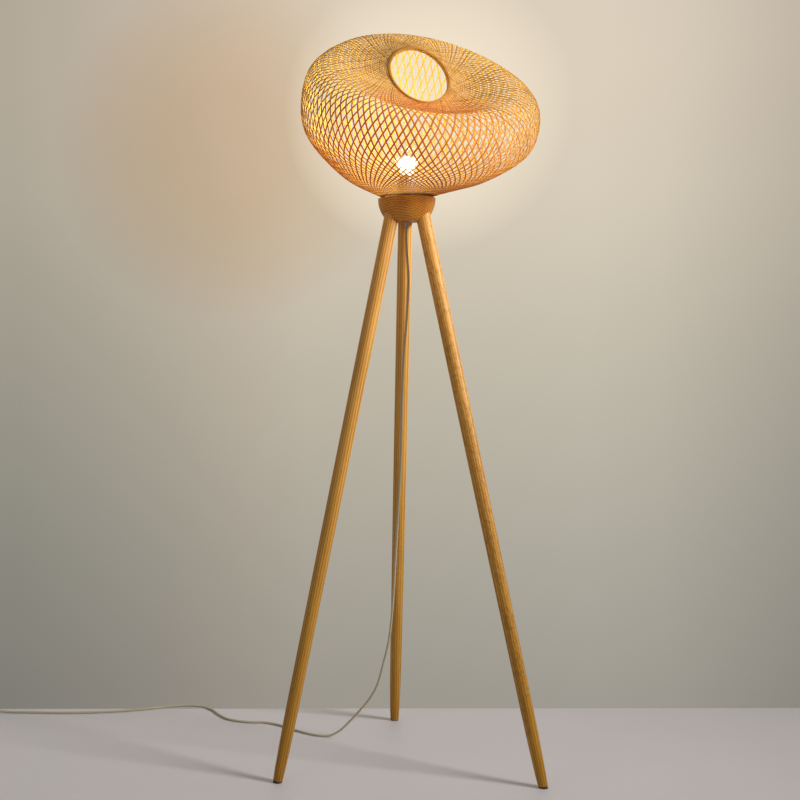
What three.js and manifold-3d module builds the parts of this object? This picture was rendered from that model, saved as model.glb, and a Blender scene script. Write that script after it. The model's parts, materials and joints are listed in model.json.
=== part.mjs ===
// Tripod floor lamp with a netted shade.
// Three turned legs stand in a turned hub. The hub carries a lampholder with a filament bulb, and a bulbous
// shade netted from two families of split cane strips, wound opposite ways between a hoop on the hub and a
// tilted hoop round the mouth. The cord leaves the hub's underside, hangs to the floor and runs to a foot
// switch, a wound coil and a slim plug.
// Millimetres, +Z up. The origin is on the floor, under the middle of the lamp without its cord.

import * as THREE from 'three';
import { mergeVertices } from 'three/addons/utils/BufferGeometryUtils.js';
import Module from 'manifold-3d';

const wasm = await Module();
wasm.setup();

// Clearances and cutting
const gap = 0.3;
const overrun = 20;
const roundSides = 18;
const smallSides = 8;
const bigSides = 28;
const legProfilePoints = 10;
const hubArcSteps = 8;
const glassPoints = 9;
const plateCornerSteps = 3;

// Tripod
const footCircleRadius = 300;
const legMeetRadius = 20.6;
const legMeetAboveHub = 31.4;
const legEndBelowMeet = 55.7;
const legTopRadius = 14.6;
const legTipRadius = 9.3;
const legProfileShares = [
  [0, 0],
  [0.022, 0.26],
  [0.075, 0.52],
  [0.13, 0.62],
  [0.26, 0.7],
  [0.45, 0.83],
  [0.7, 0.94],
  [1, 1],
];
const footHeight = 3;
const footRadius = 8.6;
const footSpigotRadius = 3;
const footSpigotLength = 14;
const legHeadingDegrees = { right: 330, back: 90, left: 210 };

// Leg joints
const boltRadius = 4;
const boltInLeg = 34;
const boltInHub = 13;
const insertRadius = 6;
const insertLength = 12;

// Hub
const hubRadius = 58;
const hubTop = 1164;
const hubAboveCentre = 2;
const hubBelowCentre = 45;
const hubEdge = 1.2;
const hubSeatDepth = 3.5;
const hubSeatClearance = 0.8;
const hubBoreRadius = 6;
const hubRecessRadius = 13;
const hubRecessDepth = 14;

// Cord gland in the hub's underside
const cordRadius = 2.5;
const glandFlangeRadius = 8;
const glandFlangeHeight = 2;
const glandNubRadius = 5.4;
const glandTipRadius = 3.9;
const glandNubHeight = 9;
const glandSleeveLength = 12;

// Carrier plate and its fixings
const carrierThickness = 1.2;
const carrierFlangeHeight = 4.5;
const carrierScrewCircle = 34;
const screwRadius = 1.8;
const screwHeadRadius = 3.4;
const screwHeadHeight = 1.6;
const screwLength = 16;
const screwRimShare = 0.86;
const screwCrownShare = 0.7;
const firstScrewDegrees = 30;
const nippleRadius = 5;
const nippleWall = 1.5;
const nippleBelow = 9;
const nippleAbove = 8;
const nutAcrossFlats = 14;
const nutHeight = 4;

// Shade, as rings from the neck to the mouth
const shadeRadius = 240;
const neckRadius = 48;
const neckHeight = 6;
const mouthRadius = 63;
const mouthTiltDegrees = 66.5;
const mouthHeadingDegrees = 24;
// Each middle ring: sideways, forward and up from the hub's top, and radius, as shares of the shade's
// radius, then tilt and heading as shares of the mouth's.
const ringShares = [
  [0.044, 0.022, 0.166, 0.6, 0.165, 0.65],
  [0.075, 0.027, 0.5, 0.947, 0.322, 0.62],
  [0.108, 0.131, 0.859, 0.982, 0.439, 0.6],
  [0.099, 0.185, 1.023, 0.79, 0.524, 0.62],
  [0.088, 0.122, 1.008, 0.454, 0.756, 0.78],
];
const mouthPlaceShares = [0.088, 0.144, 1.006];

// Net of strips
const stripCount = 18;
const netFans = 3;
const stripWidth = 4;
const stripThickness = 1.2;
const layerGap = 0.8;
const stripShortStep = 7;
const stripLongStep = 60;
const windingSlope = 0.4;
const windingPower = 0.5;
const windingSamples = 960;
const meridianSamples = 12;
const hoopWall = 2;
const mouthBandShare = 0.16;
const mouthHoopShare = 0.1;
const mouthBandProud = 0.1;
const mouthBandSides = 28;
const fanSlotWidth = 1;
const neckFanTurnShare = 0.1;
const pinRadius = 0.8;
const pinHeadRadius = 1.6;
const pinHeadHeight = 0.8;
const firstPinDegrees = 90;

// Lampholder
const holderBossRadius = 9;
const holderBossHeight = 5;
const holderFloorHeight = 10;
const holderRadius = 19;
const holderWall = 2;
const holderBaseHeight = 17;
const holderShellHeight = 24;
const holderLipRadius = 14.8;
const holderLipHeight = 2;
const coreHeight = 6;
const screwShellRadius = 14.3;
const screwShellWall = 0.6;
const screwShellHoleRadius = 6.3;
const screwShellHeight = 19;
const contactRadius = 3;
const contactHeight = 2.4;

// Bulb
const capRadius = 13.1;
const capWall = 0.5;
const capHeight = 21;
const capRimRadius = 9.5;
const insulatorHeight = 3.5;
const insulatorTipRadius = 5.2;
const solderRadius = 4.6;
const solderHeight = 1.6;
const solderTipShare = 0.7;
const bulbRadius = 30;
const bulbNeckRadius = 12.2;
const bulbHeight = 76;
const bulbNeckSwell = 1.5;
const bulbNeckRise = 9.5;
const bulbShoulderRadiusShare = 0.78;
const bulbShoulderDropShare = 0.55;
const bulbGlassWall = 0.7;
const stemFlareHeight = 3;
const stemRadius = 5;
const stemTipRadius = 2;
const stemHeight = 13;
const filamentRadius = 0.9;
const filamentLength = 24;
const filamentCount = 4;
const filamentFootCircle = 8;
const filamentTopCircle = 4.5;
const supportRadius = 0.6;
const wireSides = 5;

// Inline foot switch
const switchLength = 66;
const switchWidth = 32;
const switchCorner = 12;
const switchWall = 2;
const switchBaseHeight = 9;
const switchCoverHeight = 11;
const switchTailLength = 10;
const switchTailRadius = 4.3;
const buttonRadius = 9;
const buttonFlange = 1.6;
const buttonFlangeHeight = 1.5;
const buttonProud = 5;
const buttonTravel = 3;
const buttonEdgeShare = 0.7;
const buttonFaceShare = 0.8;
const blockLength = 26;
const blockWidth = 16;

// Plug
const plugLength = 34;
const plugWidth = 26;
const plugThickness = 13.6;
const plugTailLength = 16;
const plugTailRadius = 4.2;
const plugCordLead = 15;
// Each section of the plug from the cord to its face: share of the tail's length, share of the body's
// length, width and thickness as shares from the tail's to the body's, and corner as a share of half
// the thickness.
const plugSectionShares = [
  [0.9, 0, 0, 0, 0.9],
  [1, 0, 0.15, 0, 0.83],
  [1, 0.3, 0.8, 1, 0.6],
  [1, 0.5, 1, 1, 0.6],
  [1, 1, 1, 1, 0.6],
];
const pinSpacing = 18.6;
const plugPinRadius = 2;
const plugPinLength = 19;

// Cord: the points are places from the hub's axis and the floor, chosen by hand
const cordSides = 8;
const cordRunSteps = 72;
const cordLinkSteps = 3;
const cordTailSteps = 12;
// The free fall: sideways and back from the hub's axis, and height as a share of the gland's.
const cordFallPoints = [
  [-1, 0, 0.982],
  [1, 0, 0.951],
  [4, 0, 0.91],
  [3, 0, 0.867],
  [-0.5, 0, 0.811],
  [-4, 0, 0.774],
  [-8, 0, 0.681],
  [-9, 3, 0.587],
  [-12, 16, 0.492],
  [-15, 34, 0.415],
  [-20, 60, 0.295],
  [-27, 83, 0.213],
  [-38, 101, 0.161],
  [-50, 119, 0.115],
  [-65, 130, 0.086],
  [-86, 137, 0.06],
  [-108, 144, 0.036],
  [-129, 149, 0.016],
  [-151, 154, 0.0045],
];
// On the floor: sideways and back from the hub's axis.
const cordFloorPoints = [
  [-180, 161],
  [-226, 195],
  [-266, 235],
  [-298, 252],
  [-334, 253],
  [-379, 270],
  [-404, 304],
  [-424, 346],
  [-450, 373],
  [-488, 381],
  [-531, 370],
  [-591, 343],
  [-671, 317],
  [-771, 303],
  [-860, 302],
  [-905, 302],
];
const switchPlace = [-985, 302];
const coilTurns = 4;
const coilLayers = 2;
const coilMeanRadius = 29;
const coilPitch = 5.8;
const coilLead = 24;
const coilLoopSteps = 24;
const coilSides = 6;
const tieWidth = 9;
const tieThickness = 1;
const tieInset = 1.5;
const tieDegrees = -45;
const cordTailPoints = [
  [-22, 0, 9],
  [-42, -6, 5],
  [-60, -22, 3],
  [-66, -46, 3.6],
];

// Materials
const honeyAsh = { color: 0xc58a4c, roughness: 0.5, metalness: 0 };
const darkAsh = { color: 0xa9713a, roughness: 0.5, metalness: 0 };
const cane = { color: 0xd9a55e, roughness: 0.6, metalness: 0 };
const darkCane = { color: 0x9a6a35, roughness: 0.6, metalness: 0 };
const rubber = { color: 0x2a2622, roughness: 0.85, metalness: 0 };
const steel = { color: 0xb9bcc0, roughness: 0.35, metalness: 1 };
const brass = { color: 0xc9a45c, roughness: 0.35, metalness: 1 };
const whitePlastic = { color: 0xe9e6df, roughness: 0.45, metalness: 0 };
const blackPlastic = { color: 0x1f1f20, roughness: 0.5, metalness: 0 };
const glass = { color: 0xfff4dc, roughness: 0.05, metalness: 0 };
const glow = { color: 0xffd27a, roughness: 0.4, metalness: 0 };
const greyCord = { color: 0xb9b3a6, roughness: 0.6, metalness: 0 };

// Sizes that follow
const legMeetHeight = hubTop + legMeetAboveHub;
const footAngle = Math.atan2(footCircleRadius - legMeetRadius, legMeetHeight);
const hubCentre = hubTop - hubAboveCentre;
const hubSeat = hubTop - hubSeatDepth;
const hubBottom = hubCentre - hubBelowCentre;
const hubTopRadius = Math.sqrt(hubRadius ** 2 - hubAboveCentre ** 2);
const hubBottomRadius = Math.sqrt(hubRadius ** 2 - hubBelowCentre ** 2);
const legStart = footHeight;
const legEnd = Math.hypot(footCircleRadius - legMeetRadius, legMeetHeight) - legEndBelowMeet;
const legLength = legEnd - legStart;
const layerOffset = (stripThickness + layerGap) / 2;
const neckBandInner = neckRadius - layerGap / 2 - stripThickness;
const neckBandOuter = neckRadius + layerGap / 2;
const neckHoopInner = neckBandInner - gap - hoopWall;
const neckHoopOuter = neckBandOuter + stripThickness + gap;
const hubSeatRadius = neckHoopOuter + hoopWall + gap + pinHeadHeight + hubSeatClearance;
const carrierRadius = neckHoopInner - gap;
const neckPinHeight = 2 * gap + carrierThickness + pinRadius;
const neckHoopTop = neckHeight - layerOffset - stripThickness / 2 - gap;
const hoopOffset = layerOffset + stripThickness / 2 + mouthBandProud + gap;
const glandTip = hubBottom - gap - glandFlangeHeight - glandNubHeight;
const holderSeat = gap + carrierThickness + gap;
const coilFloor = tieThickness + gap;
const coilBottom = coilFloor + cordRadius;
const plugHeight = plugThickness / 2;
const switchTailHeight = switchTailRadius + gap;

/** Merges shared corners, drops empty triangles and turns the faces outward. */
function welded(geometry) {
  const bare = geometry.clone();
  bare.deleteAttribute('normal');
  bare.deleteAttribute('uv');
  const merged = mergeVertices(bare);
  const corners = merged.index.array;
  const kept = [];
  for (let i = 0; i < corners.length; i += 3) {
    const [a, b, c] = [corners[i], corners[i + 1], corners[i + 2]];
    if (a !== b && b !== c && c !== a) kept.push(a, b, c);
  }
  const result = new THREE.BufferGeometry();
  result.setAttribute('position', merged.getAttribute('position'));
  result.setIndex(signedVolume(merged, kept) < 0 ? kept.reverse() : kept);
  return result;
}

/** Six times the volume that the triangles enclose, negative when they face inward. */
function signedVolume(geometry, corners) {
  const position = geometry.getAttribute('position');
  const [a, b, c] = [new THREE.Vector3(), new THREE.Vector3(), new THREE.Vector3()];
  let total = 0;
  for (let i = 0; i < corners.length; i += 3) {
    a.fromBufferAttribute(position, corners[i]);
    b.fromBufferAttribute(position, corners[i + 1]);
    c.fromBufferAttribute(position, corners[i + 2]);
    total += a.dot(b.cross(c));
  }
  return total;
}

/** A solid for joining and cutting, from a closed geometry. */
function toSolid(geometry) {
  const closed = welded(geometry);
  return new wasm.Manifold(new wasm.Mesh({
    numProp: 3,
    vertProperties: new Float32Array(closed.getAttribute('position').array),
    triVerts: new Uint32Array(closed.index.array),
  }));
}

/** The geometry of a joined or cut solid. */
function fromSolid(solid) {
  const mesh = solid.getMesh();
  const geometry = new THREE.BufferGeometry();
  geometry.setAttribute('position', new THREE.BufferAttribute(mesh.vertProperties, 3));
  geometry.setIndex(new THREE.BufferAttribute(mesh.triVerts, 1));
  return geometry;
}

/** A body with others cut from it. */
function cut(body, tools) {
  return fromSolid(tools.reduce((solid, tool) => solid.subtract(toSolid(tool)), toSolid(body)));
}

/** Several bodies joined into one. */
function joined(bodies) {
  const [first, ...rest] = bodies.map(toSolid);
  return fromSolid(rest.reduce((solid, other) => solid.add(other), first));
}

/** A shape turned about Z from [radius, height] points that start and end on the axis. */
function turned(profile, sides = roundSides) {
  const points = profile.map(([radius, height]) => new THREE.Vector2(radius, height));
  return new THREE.LatheGeometry(points, sides).rotateX(Math.PI / 2);
}

/** A ring turned about Z from [radius, height] points that go once round its section. */
function turnedRing(profile, sides = roundSides) {
  return turned([...profile, profile[0]], sides);
}

/** A solid cylinder on Z from one height to another. */
function rod(radius, low, high, sides = roundSides) {
  return turned([[0, low], [radius, low], [radius, high], [0, high]], sides);
}

/** A plain band on Z. */
function band(inner, outer, low, high, sides = roundSides) {
  return turnedRing([[inner, low], [outer, low], [outer, high], [inner, high]], sides);
}

/** A closed tube through sections, each a loop with the same number of points. */
function lofted(sections) {
  const sides = sections[0].length;
  const position = sections.flat().flatMap((point) => point.toArray());
  const corners = [];
  for (let row = 0; row < sections.length - 1; row += 1) {
    for (let side = 0; side < sides; side += 1) {
      const a = row * sides + side;
      const b = row * sides + (side + 1) % sides;
      corners.push(a, b, b + sides, a, b + sides, a + sides);
    }
  }
  const last = (sections.length - 1) * sides;
  for (let side = 1; side < sides - 1; side += 1) {
    corners.push(0, side + 1, side);
    corners.push(last, last + side, last + side + 1);
  }
  const geometry = new THREE.BufferGeometry();
  geometry.setAttribute('position', new THREE.Float32BufferAttribute(position, 3));
  geometry.setIndex(corners);
  return welded(geometry);
}

/** A round tube along a curve. */
function tube(curve, radius, sides, steps) {
  const section = new THREE.Shape();
  for (let side = 0; side < sides; side += 1) {
    const angle = (2 * Math.PI * side) / sides;
    const [x, y] = [radius * Math.cos(angle), radius * Math.sin(angle)];
    if (side === 0) section.moveTo(x, y);
    else section.lineTo(x, y);
  }
  return new THREE.ExtrudeGeometry(section, { steps, extrudePath: curve, bevelEnabled: false });
}

/** A straight rod between two points. */
function strut(from, to, radius, sides) {
  return tube(new THREE.LineCurve3(from, to), radius, sides, 1);
}

/** A rounded rectangle, centred, as a shape. */
function roundedRectangle(length, width, corner) {
  const [x, y] = [length / 2 - corner, width / 2 - corner];
  const shape = new THREE.Shape();
  shape.absarc(x, y, corner, 0, Math.PI / 2);
  shape.absarc(-x, y, corner, Math.PI / 2, Math.PI);
  shape.absarc(-x, -y, corner, Math.PI, 1.5 * Math.PI);
  shape.absarc(x, -y, corner, 1.5 * Math.PI, 2 * Math.PI);
  return shape;
}

/** A rounded plate from one height to another. */
function plate(length, width, corner, low, high) {
  const shape = roundedRectangle(length, width, corner);
  const options = { depth: high - low, bevelEnabled: false, curveSegments: plateCornerSteps };
  return new THREE.ExtrudeGeometry(shape, options).translate(0, 0, low);
}

/** A named sub-part. */
function part(name, geometry, finish) {
  const mesh = new THREE.Mesh(welded(geometry), new THREE.MeshStandardMaterial(finish));
  mesh.name = name;
  return mesh;
}

/** A group at a place, holding its parts. */
function placed(parts, x, y, z) {
  const group = new THREE.Group();
  group.position.set(x, y, z);
  group.add(...parts);
  return group;
}

/** The matrix from a leg's own frame, with Z up its axis from the floor, to the lamp's. */
function legMatrix(heading) {
  const turn = new THREE.Matrix4().makeRotationZ(THREE.MathUtils.degToRad(heading));
  const lean = new THREE.Matrix4().makeRotationY(-footAngle);
  lean.setPosition(footCircleRadius, 0, 0);
  return turn.multiply(lean);
}

/** The turned leg, cut square at both ends and drilled for its bolt and its foot. */
function legGeometry() {
  const profile = new THREE.SplineCurve(legProfileShares.map(([along, swell]) => new THREE.Vector2(
    legTipRadius + swell * (legTopRadius - legTipRadius),
    legStart + along * legLength,
  )));
  const outline = profile.getPoints(legProfilePoints).map((point) => [point.x, point.y]);
  const body = turned([[0, legStart], ...outline, [0, legEnd]], roundSides);
  const boltHole = rod(boltRadius + gap, legEnd - boltInLeg - gap, legEnd + overrun, smallSides);
  const spigotHole = rod(footSpigotRadius + gap, legStart - overrun, legStart + footSpigotLength + gap, smallSides);
  return cut(body, [boltHole, spigotHole]);
}

/** A rubber foot with its spigot, cut flat on the floor. */
function footGeometry(matrix) {
  const padTop = legStart - gap;
  const profile = [
    [0, -footRadius],
    [footRadius, -footRadius],
    [footRadius + gap, padTop],
    [footSpigotRadius, padTop],
    [footSpigotRadius, legStart + footSpigotLength],
    [0, legStart + footSpigotLength],
  ];
  const body = turned(profile, roundSides).applyMatrix4(matrix);
  const side = 2 * footCircleRadius + 2 * overrun;
  const floor = new THREE.BoxGeometry(2 * side, 2 * side, side).translate(0, 0, -side / 2);
  return cut(body, [floor]);
}

/** One leg with its foot, bolt and threaded insert. */
function legParts(side, heading) {
  const matrix = legMatrix(heading);
  const bolt = rod(boltRadius, legEnd - boltInLeg, legEnd + boltInHub, smallSides);
  const insert = band(boltRadius + gap, insertRadius, legEnd + 2 * gap, legEnd + 2 * gap + insertLength, smallSides);
  const group = new THREE.Group();
  group.add(
    part(`leg_${side}`, legGeometry(), honeyAsh),
    part(`hanger_bolt_${side}`, bolt, steel),
    part(`insert_nut_${side}`, insert, brass),
  );
  group.applyMatrix4(matrix);
  return [group, part(`foot_${side}`, footGeometry(matrix), rubber)];
}

/** What one leg takes out of the hub: its socket, the insert's hole and the bolt's end. */
function socketTools(heading) {
  const matrix = legMatrix(heading);
  const insertEnd = legEnd + 3 * gap + insertLength;
  const boltEnd = legEnd + boltInHub + gap;
  return [
    rod(legTopRadius + gap, legEnd - 4 * overrun, legEnd + gap),
    rod(insertRadius + gap, legEnd, Math.max(insertEnd, boltEnd), smallSides),
  ].map((tool) => tool.applyMatrix4(matrix));
}

/** Places of three things spaced evenly on a circle. */
function onCircle(radius, firstAngle) {
  return [0, 1, 2].map((index) => {
    const angle = THREE.MathUtils.degToRad(firstAngle + index * 120);
    return { x: radius * Math.cos(angle), y: radius * Math.sin(angle), angle };
  });
}

/** The turned hub: a ball cut flat above and below, bored for the cord and drilled for what it holds. */
function hubGeometry() {
  const low = -Math.asin((hubBelowCentre - hubEdge) / hubRadius);
  const high = Math.asin((hubAboveCentre - hubEdge) / hubRadius);
  const arc = [];
  for (let step = 0; step <= hubArcSteps; step += 1) {
    const angle = low + ((high - low) * step) / hubArcSteps;
    arc.push([hubRadius * Math.cos(angle), hubCentre + hubRadius * Math.sin(angle)]);
  }
  const body = turnedRing([
    [hubBoreRadius, hubBottom],
    [hubBottomRadius - hubEdge, hubBottom],
    ...arc,
    [hubTopRadius - hubEdge, hubTop],
    [hubSeatRadius, hubTop],
    [hubSeatRadius, hubSeat],
    [hubRecessRadius, hubSeat],
    [hubRecessRadius, hubSeat - hubRecessDepth],
    [hubBoreRadius, hubSeat - hubRecessDepth],
  ], bigSides);
  const screwHoles = onCircle(carrierScrewCircle, firstScrewDegrees).map(({ x, y }) => rod(
    screwRadius + gap,
    hubSeat - screwLength - gap,
    hubTop + overrun,
    smallSides,
  ).translate(x, y, 0));
  return cut(body, [...Object.values(legHeadingDegrees).flatMap(socketTools), ...screwHoles]);
}

/** The tapered gland that grips the cord at the hub's underside. */
function glandGeometry() {
  const flangeTop = hubBottom - gap;
  const flangeLow = flangeTop - glandFlangeHeight;
  return turnedRing([
    [cordRadius + gap, glandTip],
    [glandTipRadius, glandTip],
    [glandNubRadius, flangeLow],
    [glandFlangeRadius, flangeLow],
    [glandFlangeRadius, flangeTop],
    [hubBoreRadius - gap, flangeTop],
    [hubBoreRadius - gap, flangeTop + glandSleeveLength],
    [cordRadius + gap, flangeTop + glandSleeveLength],
  ], smallSides);
}

/** Tools for the three pins that hold the neck's hoops to the carrier. */
function pinTools(radius) {
  return onCircle(0, firstPinDegrees).map(({ angle }) => rod(radius, 0, neckHoopOuter + overrun, smallSides)
    .rotateY(Math.PI / 2)
    .rotateZ(angle)
    .translate(0, 0, neckPinHeight));
}

/** The pressed carrier plate on the hub's top, with its upturned flange. */
function carrierGeometry() {
  const [low, floor] = [gap, gap + carrierThickness];
  const rim = floor + carrierFlangeHeight;
  const dish = turnedRing([
    [nippleRadius + gap, low],
    [carrierRadius, low],
    [carrierRadius, rim],
    [carrierRadius - carrierThickness, rim],
    [carrierRadius - carrierThickness, floor],
    [nippleRadius + gap, floor],
  ], bigSides);
  const holes = onCircle(carrierScrewCircle, firstScrewDegrees)
    .map(({ x, y }) => rod(screwRadius + gap, -overrun, overrun, smallSides).translate(x, y, 0));
  return cut(dish, [...holes, ...pinTools(pinRadius + gap)]);
}

/** A round-headed screw, its head's underside at height zero. */
function screwGeometry() {
  return turned([
    [0, -screwLength + gap],
    [screwRadius, -screwLength + screwRadius + gap],
    [screwRadius, 0],
    [screwHeadRadius, 0],
    [screwHeadRadius * screwRimShare, screwHeadHeight * screwCrownShare],
    [0, screwHeadHeight],
  ], smallSides);
}

/** A pin through the neck's hoops, with its head outside. */
function pinGeometry() {
  const inner = carrierRadius - 2 * carrierThickness;
  const outer = neckHoopOuter + hoopWall + gap;
  return turned([
    [0, inner],
    [pinRadius, inner],
    [pinRadius, outer],
    [pinHeadRadius, outer],
    [pinHeadRadius, outer + pinHeadHeight],
    [0, outer + pinHeadHeight],
  ], smallSides).rotateY(Math.PI / 2);
}

/** A hexagon nut that hangs below a height. */
function nutGeometry(top) {
  const hexagon = new THREE.Shape();
  const corner = nutAcrossFlats / Math.sqrt(3);
  for (let side = 0; side < 6; side += 1) {
    const angle = (side * Math.PI) / 3;
    const [x, y] = [corner * Math.cos(angle), corner * Math.sin(angle)];
    if (side === 0) hexagon.moveTo(x, y);
    else hexagon.lineTo(x, y);
  }
  const body = new THREE.ExtrudeGeometry(hexagon, { depth: nutHeight, bevelEnabled: false });
  return cut(body.translate(0, 0, top - nutHeight), [
    rod(nippleRadius + gap, top - nutHeight - overrun, top + overrun, smallSides),
  ]);
}

/** The carrier with its screws, pins, nipple and nut, all from its seat in the hub's top. */
function carrierParts() {
  const parts = [part('carrier_plate', carrierGeometry(), steel)];
  onCircle(carrierScrewCircle, firstScrewDegrees).forEach(({ x, y }, index) => {
    const screw = part(`carrier_screw_${index + 1}`, screwGeometry(), brass);
    screw.position.set(x, y, 2 * gap + carrierThickness);
    parts.push(screw);
  });
  onCircle(0, firstPinDegrees).forEach(({ angle }, index) => {
    const pin = part(`hoop_pin_${index + 1}`, pinGeometry(), brass);
    pin.rotation.z = angle;
    pin.position.z = neckPinHeight;
    parts.push(pin);
  });
  const nipple = band(nippleRadius - nippleWall, nippleRadius, -nippleBelow, holderSeat + nippleAbove, smallSides);
  parts.push(part('threaded_nipple', nipple, steel));
  parts.push(part('nipple_nut', nutGeometry(0), steel));
  return placed(parts, 0, 0, hubSeat);
}

/** All key rings of the shade, from the neck to the mouth, in millimetres and radians. */
function shadeRings() {
  const [tilt, heading] = [mouthTiltDegrees, mouthHeadingDegrees].map(THREE.MathUtils.degToRad);
  const neck = { x: 0, y: 0, z: neckHeight, radius: neckRadius, tilt: 0, heading: heading * ringShares[0][5] };
  const middle = ringShares.map(([side, front, up, swell, tiltShare, headingShare]) => ({
    x: side * shadeRadius,
    y: -front * shadeRadius,
    z: up * shadeRadius + hubSeatDepth,
    radius: swell * shadeRadius,
    tilt: tiltShare * tilt,
    heading: headingShare * heading,
  }));
  const [side, front, up] = mouthPlaceShares.map((share) => share * shadeRadius);
  return [neck, ...middle, { x: side, y: -front, z: up + hubSeatDepth, radius: mouthRadius, tilt, heading }];
}

/** Smooth blend of four values, passing through the middle two. */
function blend(a, b, c, d, t) {
  const linear = c - a;
  const square = 2 * a - 5 * b + 4 * c - d;
  const cube = 3 * b - a - 3 * c + d;
  return b + (linear * t + square * t * t + cube * t * t * t) / 2;
}

/** The shade's ring at a station between zero, the neck, and the last ring, the mouth. */
function ringAt(rings, station) {
  const last = rings.length - 1;
  const index = Math.min(Math.max(Math.floor(station), 0), last - 1);
  const t = station - index;
  const value = (name) => {
    const [b, c] = [rings[index][name], rings[index + 1][name]];
    const a = index > 0 ? rings[index - 1][name] : 2 * b - c;
    const d = index + 2 <= last ? rings[index + 2][name] : 2 * c - b;
    return blend(a, b, c, d, t);
  };
  return {
    centre: new THREE.Vector3(value('x'), value('y'), value('z')),
    radius: value('radius'),
    tilt: value('tilt'),
    heading: value('heading'),
  };
}

/** A ring's two directions: down its slope, and level across it. */
function ringAxes({ tilt, heading }) {
  const [side, front] = [Math.sin(heading), -Math.cos(heading)];
  const down = new THREE.Vector3(side * Math.cos(tilt), front * Math.cos(tilt), -Math.sin(tilt));
  const normal = new THREE.Vector3(side * Math.sin(tilt), front * Math.sin(tilt), Math.cos(tilt));
  return { down, normal, across: new THREE.Vector3().crossVectors(normal, down) };
}

/** A point of the shade's middle surface. */
function shadePoint(rings, station, angle) {
  const ring = ringAt(rings, station);
  const { down, across } = ringAxes(ring);
  return ring.centre
    .addScaledVector(down, ring.radius * Math.cos(angle))
    .addScaledVector(across, ring.radius * Math.sin(angle));
}

/** The shade's outward direction at a point of its middle surface. */
function shadeNormal(rings, station, angle) {
  const step = 0.001;
  const along = shadePoint(rings, station + step, angle).sub(shadePoint(rings, station - step, angle));
  const round = shadePoint(rings, station, angle + step).sub(shadePoint(rings, station, angle - step));
  return round.cross(along).normalize();
}

/** How far a strip has turned round the shade, and its slant, at each of many even stations. */
function winding(rings) {
  const last = rings.length - 1;
  const table = [{ station: 0, turn: 0, slope: 0, rise: 0 }];
  for (let sample = 1; sample <= windingSamples; sample += 1) {
    const station = (last * sample) / windingSamples;
    const previous = table[sample - 1];
    let rise = 0;
    for (let index = 0; index < meridianSamples; index += 1) {
      const angle = (2 * Math.PI * index) / meridianSamples;
      const step = shadePoint(rings, station, angle).distanceTo(shadePoint(rings, previous.station, angle));
      rise += step / meridianSamples;
    }
    const { radius } = ringAt(rings, (station + previous.station) / 2);
    const slope = windingSlope * (shadeRadius / radius) ** windingPower;
    table.push({ station, turn: previous.turn + (slope * rise) / radius, slope, rise: previous.rise + rise });
  }
  table[0].slope = table[1].slope;
  return table;
}

/** A value read from the winding table at a station, straight on past its ends. */
function readWinding(table, station, name) {
  const place = (station / table[table.length - 1].station) * (table.length - 1);
  const index = Math.min(Math.max(Math.floor(place), 0), table.length - 2);
  return table[index][name] + (table[index + 1][name] - table[index][name]) * (place - index);
}

/** The first station of the winding table where a value reaches a target. */
function stationWhere(table, name, target) {
  return table.find((entry) => entry[name] >= target)?.station;
}

/** Stations for the strips' sections: where the two families cross, with more where those lie far apart. */
function stripStations(table, from, to) {
  const stations = [from];
  const step = Math.PI / stripCount;
  let kept = readWinding(table, from, 'rise');
  for (let turn = step; stationWhere(table, 'turn', turn) < to; turn += step) {
    const station = stationWhere(table, 'turn', turn);
    const rise = readWinding(table, station, 'rise');
    if (rise - kept < stripShortStep) continue;
    const parts = Math.ceil((rise - kept) / stripLongStep);
    for (let index = 1; index < parts; index += 1) {
      stations.push(stationWhere(table, 'rise', kept + ((rise - kept) * index) / parts));
    }
    stations.push(station);
    kept = rise;
  }
  return [...stations, to];
}

/** One strip of the net, flat towards the other family and ridged on its own side. */
function stripGeometry(rings, table, stations, first, way) {
  const sections = stations.map((station) => {
    const { radius } = ringAt(rings, station);
    const slope = readWinding(table, station, 'slope');
    const half = (stripWidth / 2) * Math.sqrt(1 + slope * slope) / radius;
    const middle = first + way * readWinding(table, station, 'turn');
    const corner = (angle, depth) => shadePoint(rings, station, angle)
      .addScaledVector(shadeNormal(rings, station, angle), way * depth);
    return [
      corner(middle - half, layerGap / 2),
      corner(middle + half, layerGap / 2),
      corner(middle, layerGap / 2 + stripThickness),
    ];
  });
  return lofted(sections);
}

/** A closed ring of the shade's surface between two stations and two depths. */
function surfaceRing(rings, [from, to], [low, high]) {
  const position = [];
  const corners = [];
  for (let side = 0; side < mouthBandSides; side += 1) {
    const angle = (2 * Math.PI * side) / mouthBandSides;
    const corner = (station, depth) => shadePoint(rings, station, angle)
      .addScaledVector(shadeNormal(rings, station, angle), depth);
    const section = [corner(from, low), corner(to, low), corner(to, high), corner(from, high)];
    position.push(...section.flatMap((point) => point.toArray()));
    const next = (side + 1) % mouthBandSides;
    for (let edge = 0; edge < section.length; edge += 1) {
      const [a, b] = [edge, (edge + 1) % section.length];
      const [near, far] = [side * section.length, next * section.length];
      corners.push(near + a, near + b, far + b, near + a, far + b, far + a);
    }
  }
  const geometry = new THREE.BufferGeometry();
  geometry.setAttribute('position', new THREE.Float32BufferAttribute(position, 3));
  geometry.setIndex(corners);
  return geometry;
}

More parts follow.
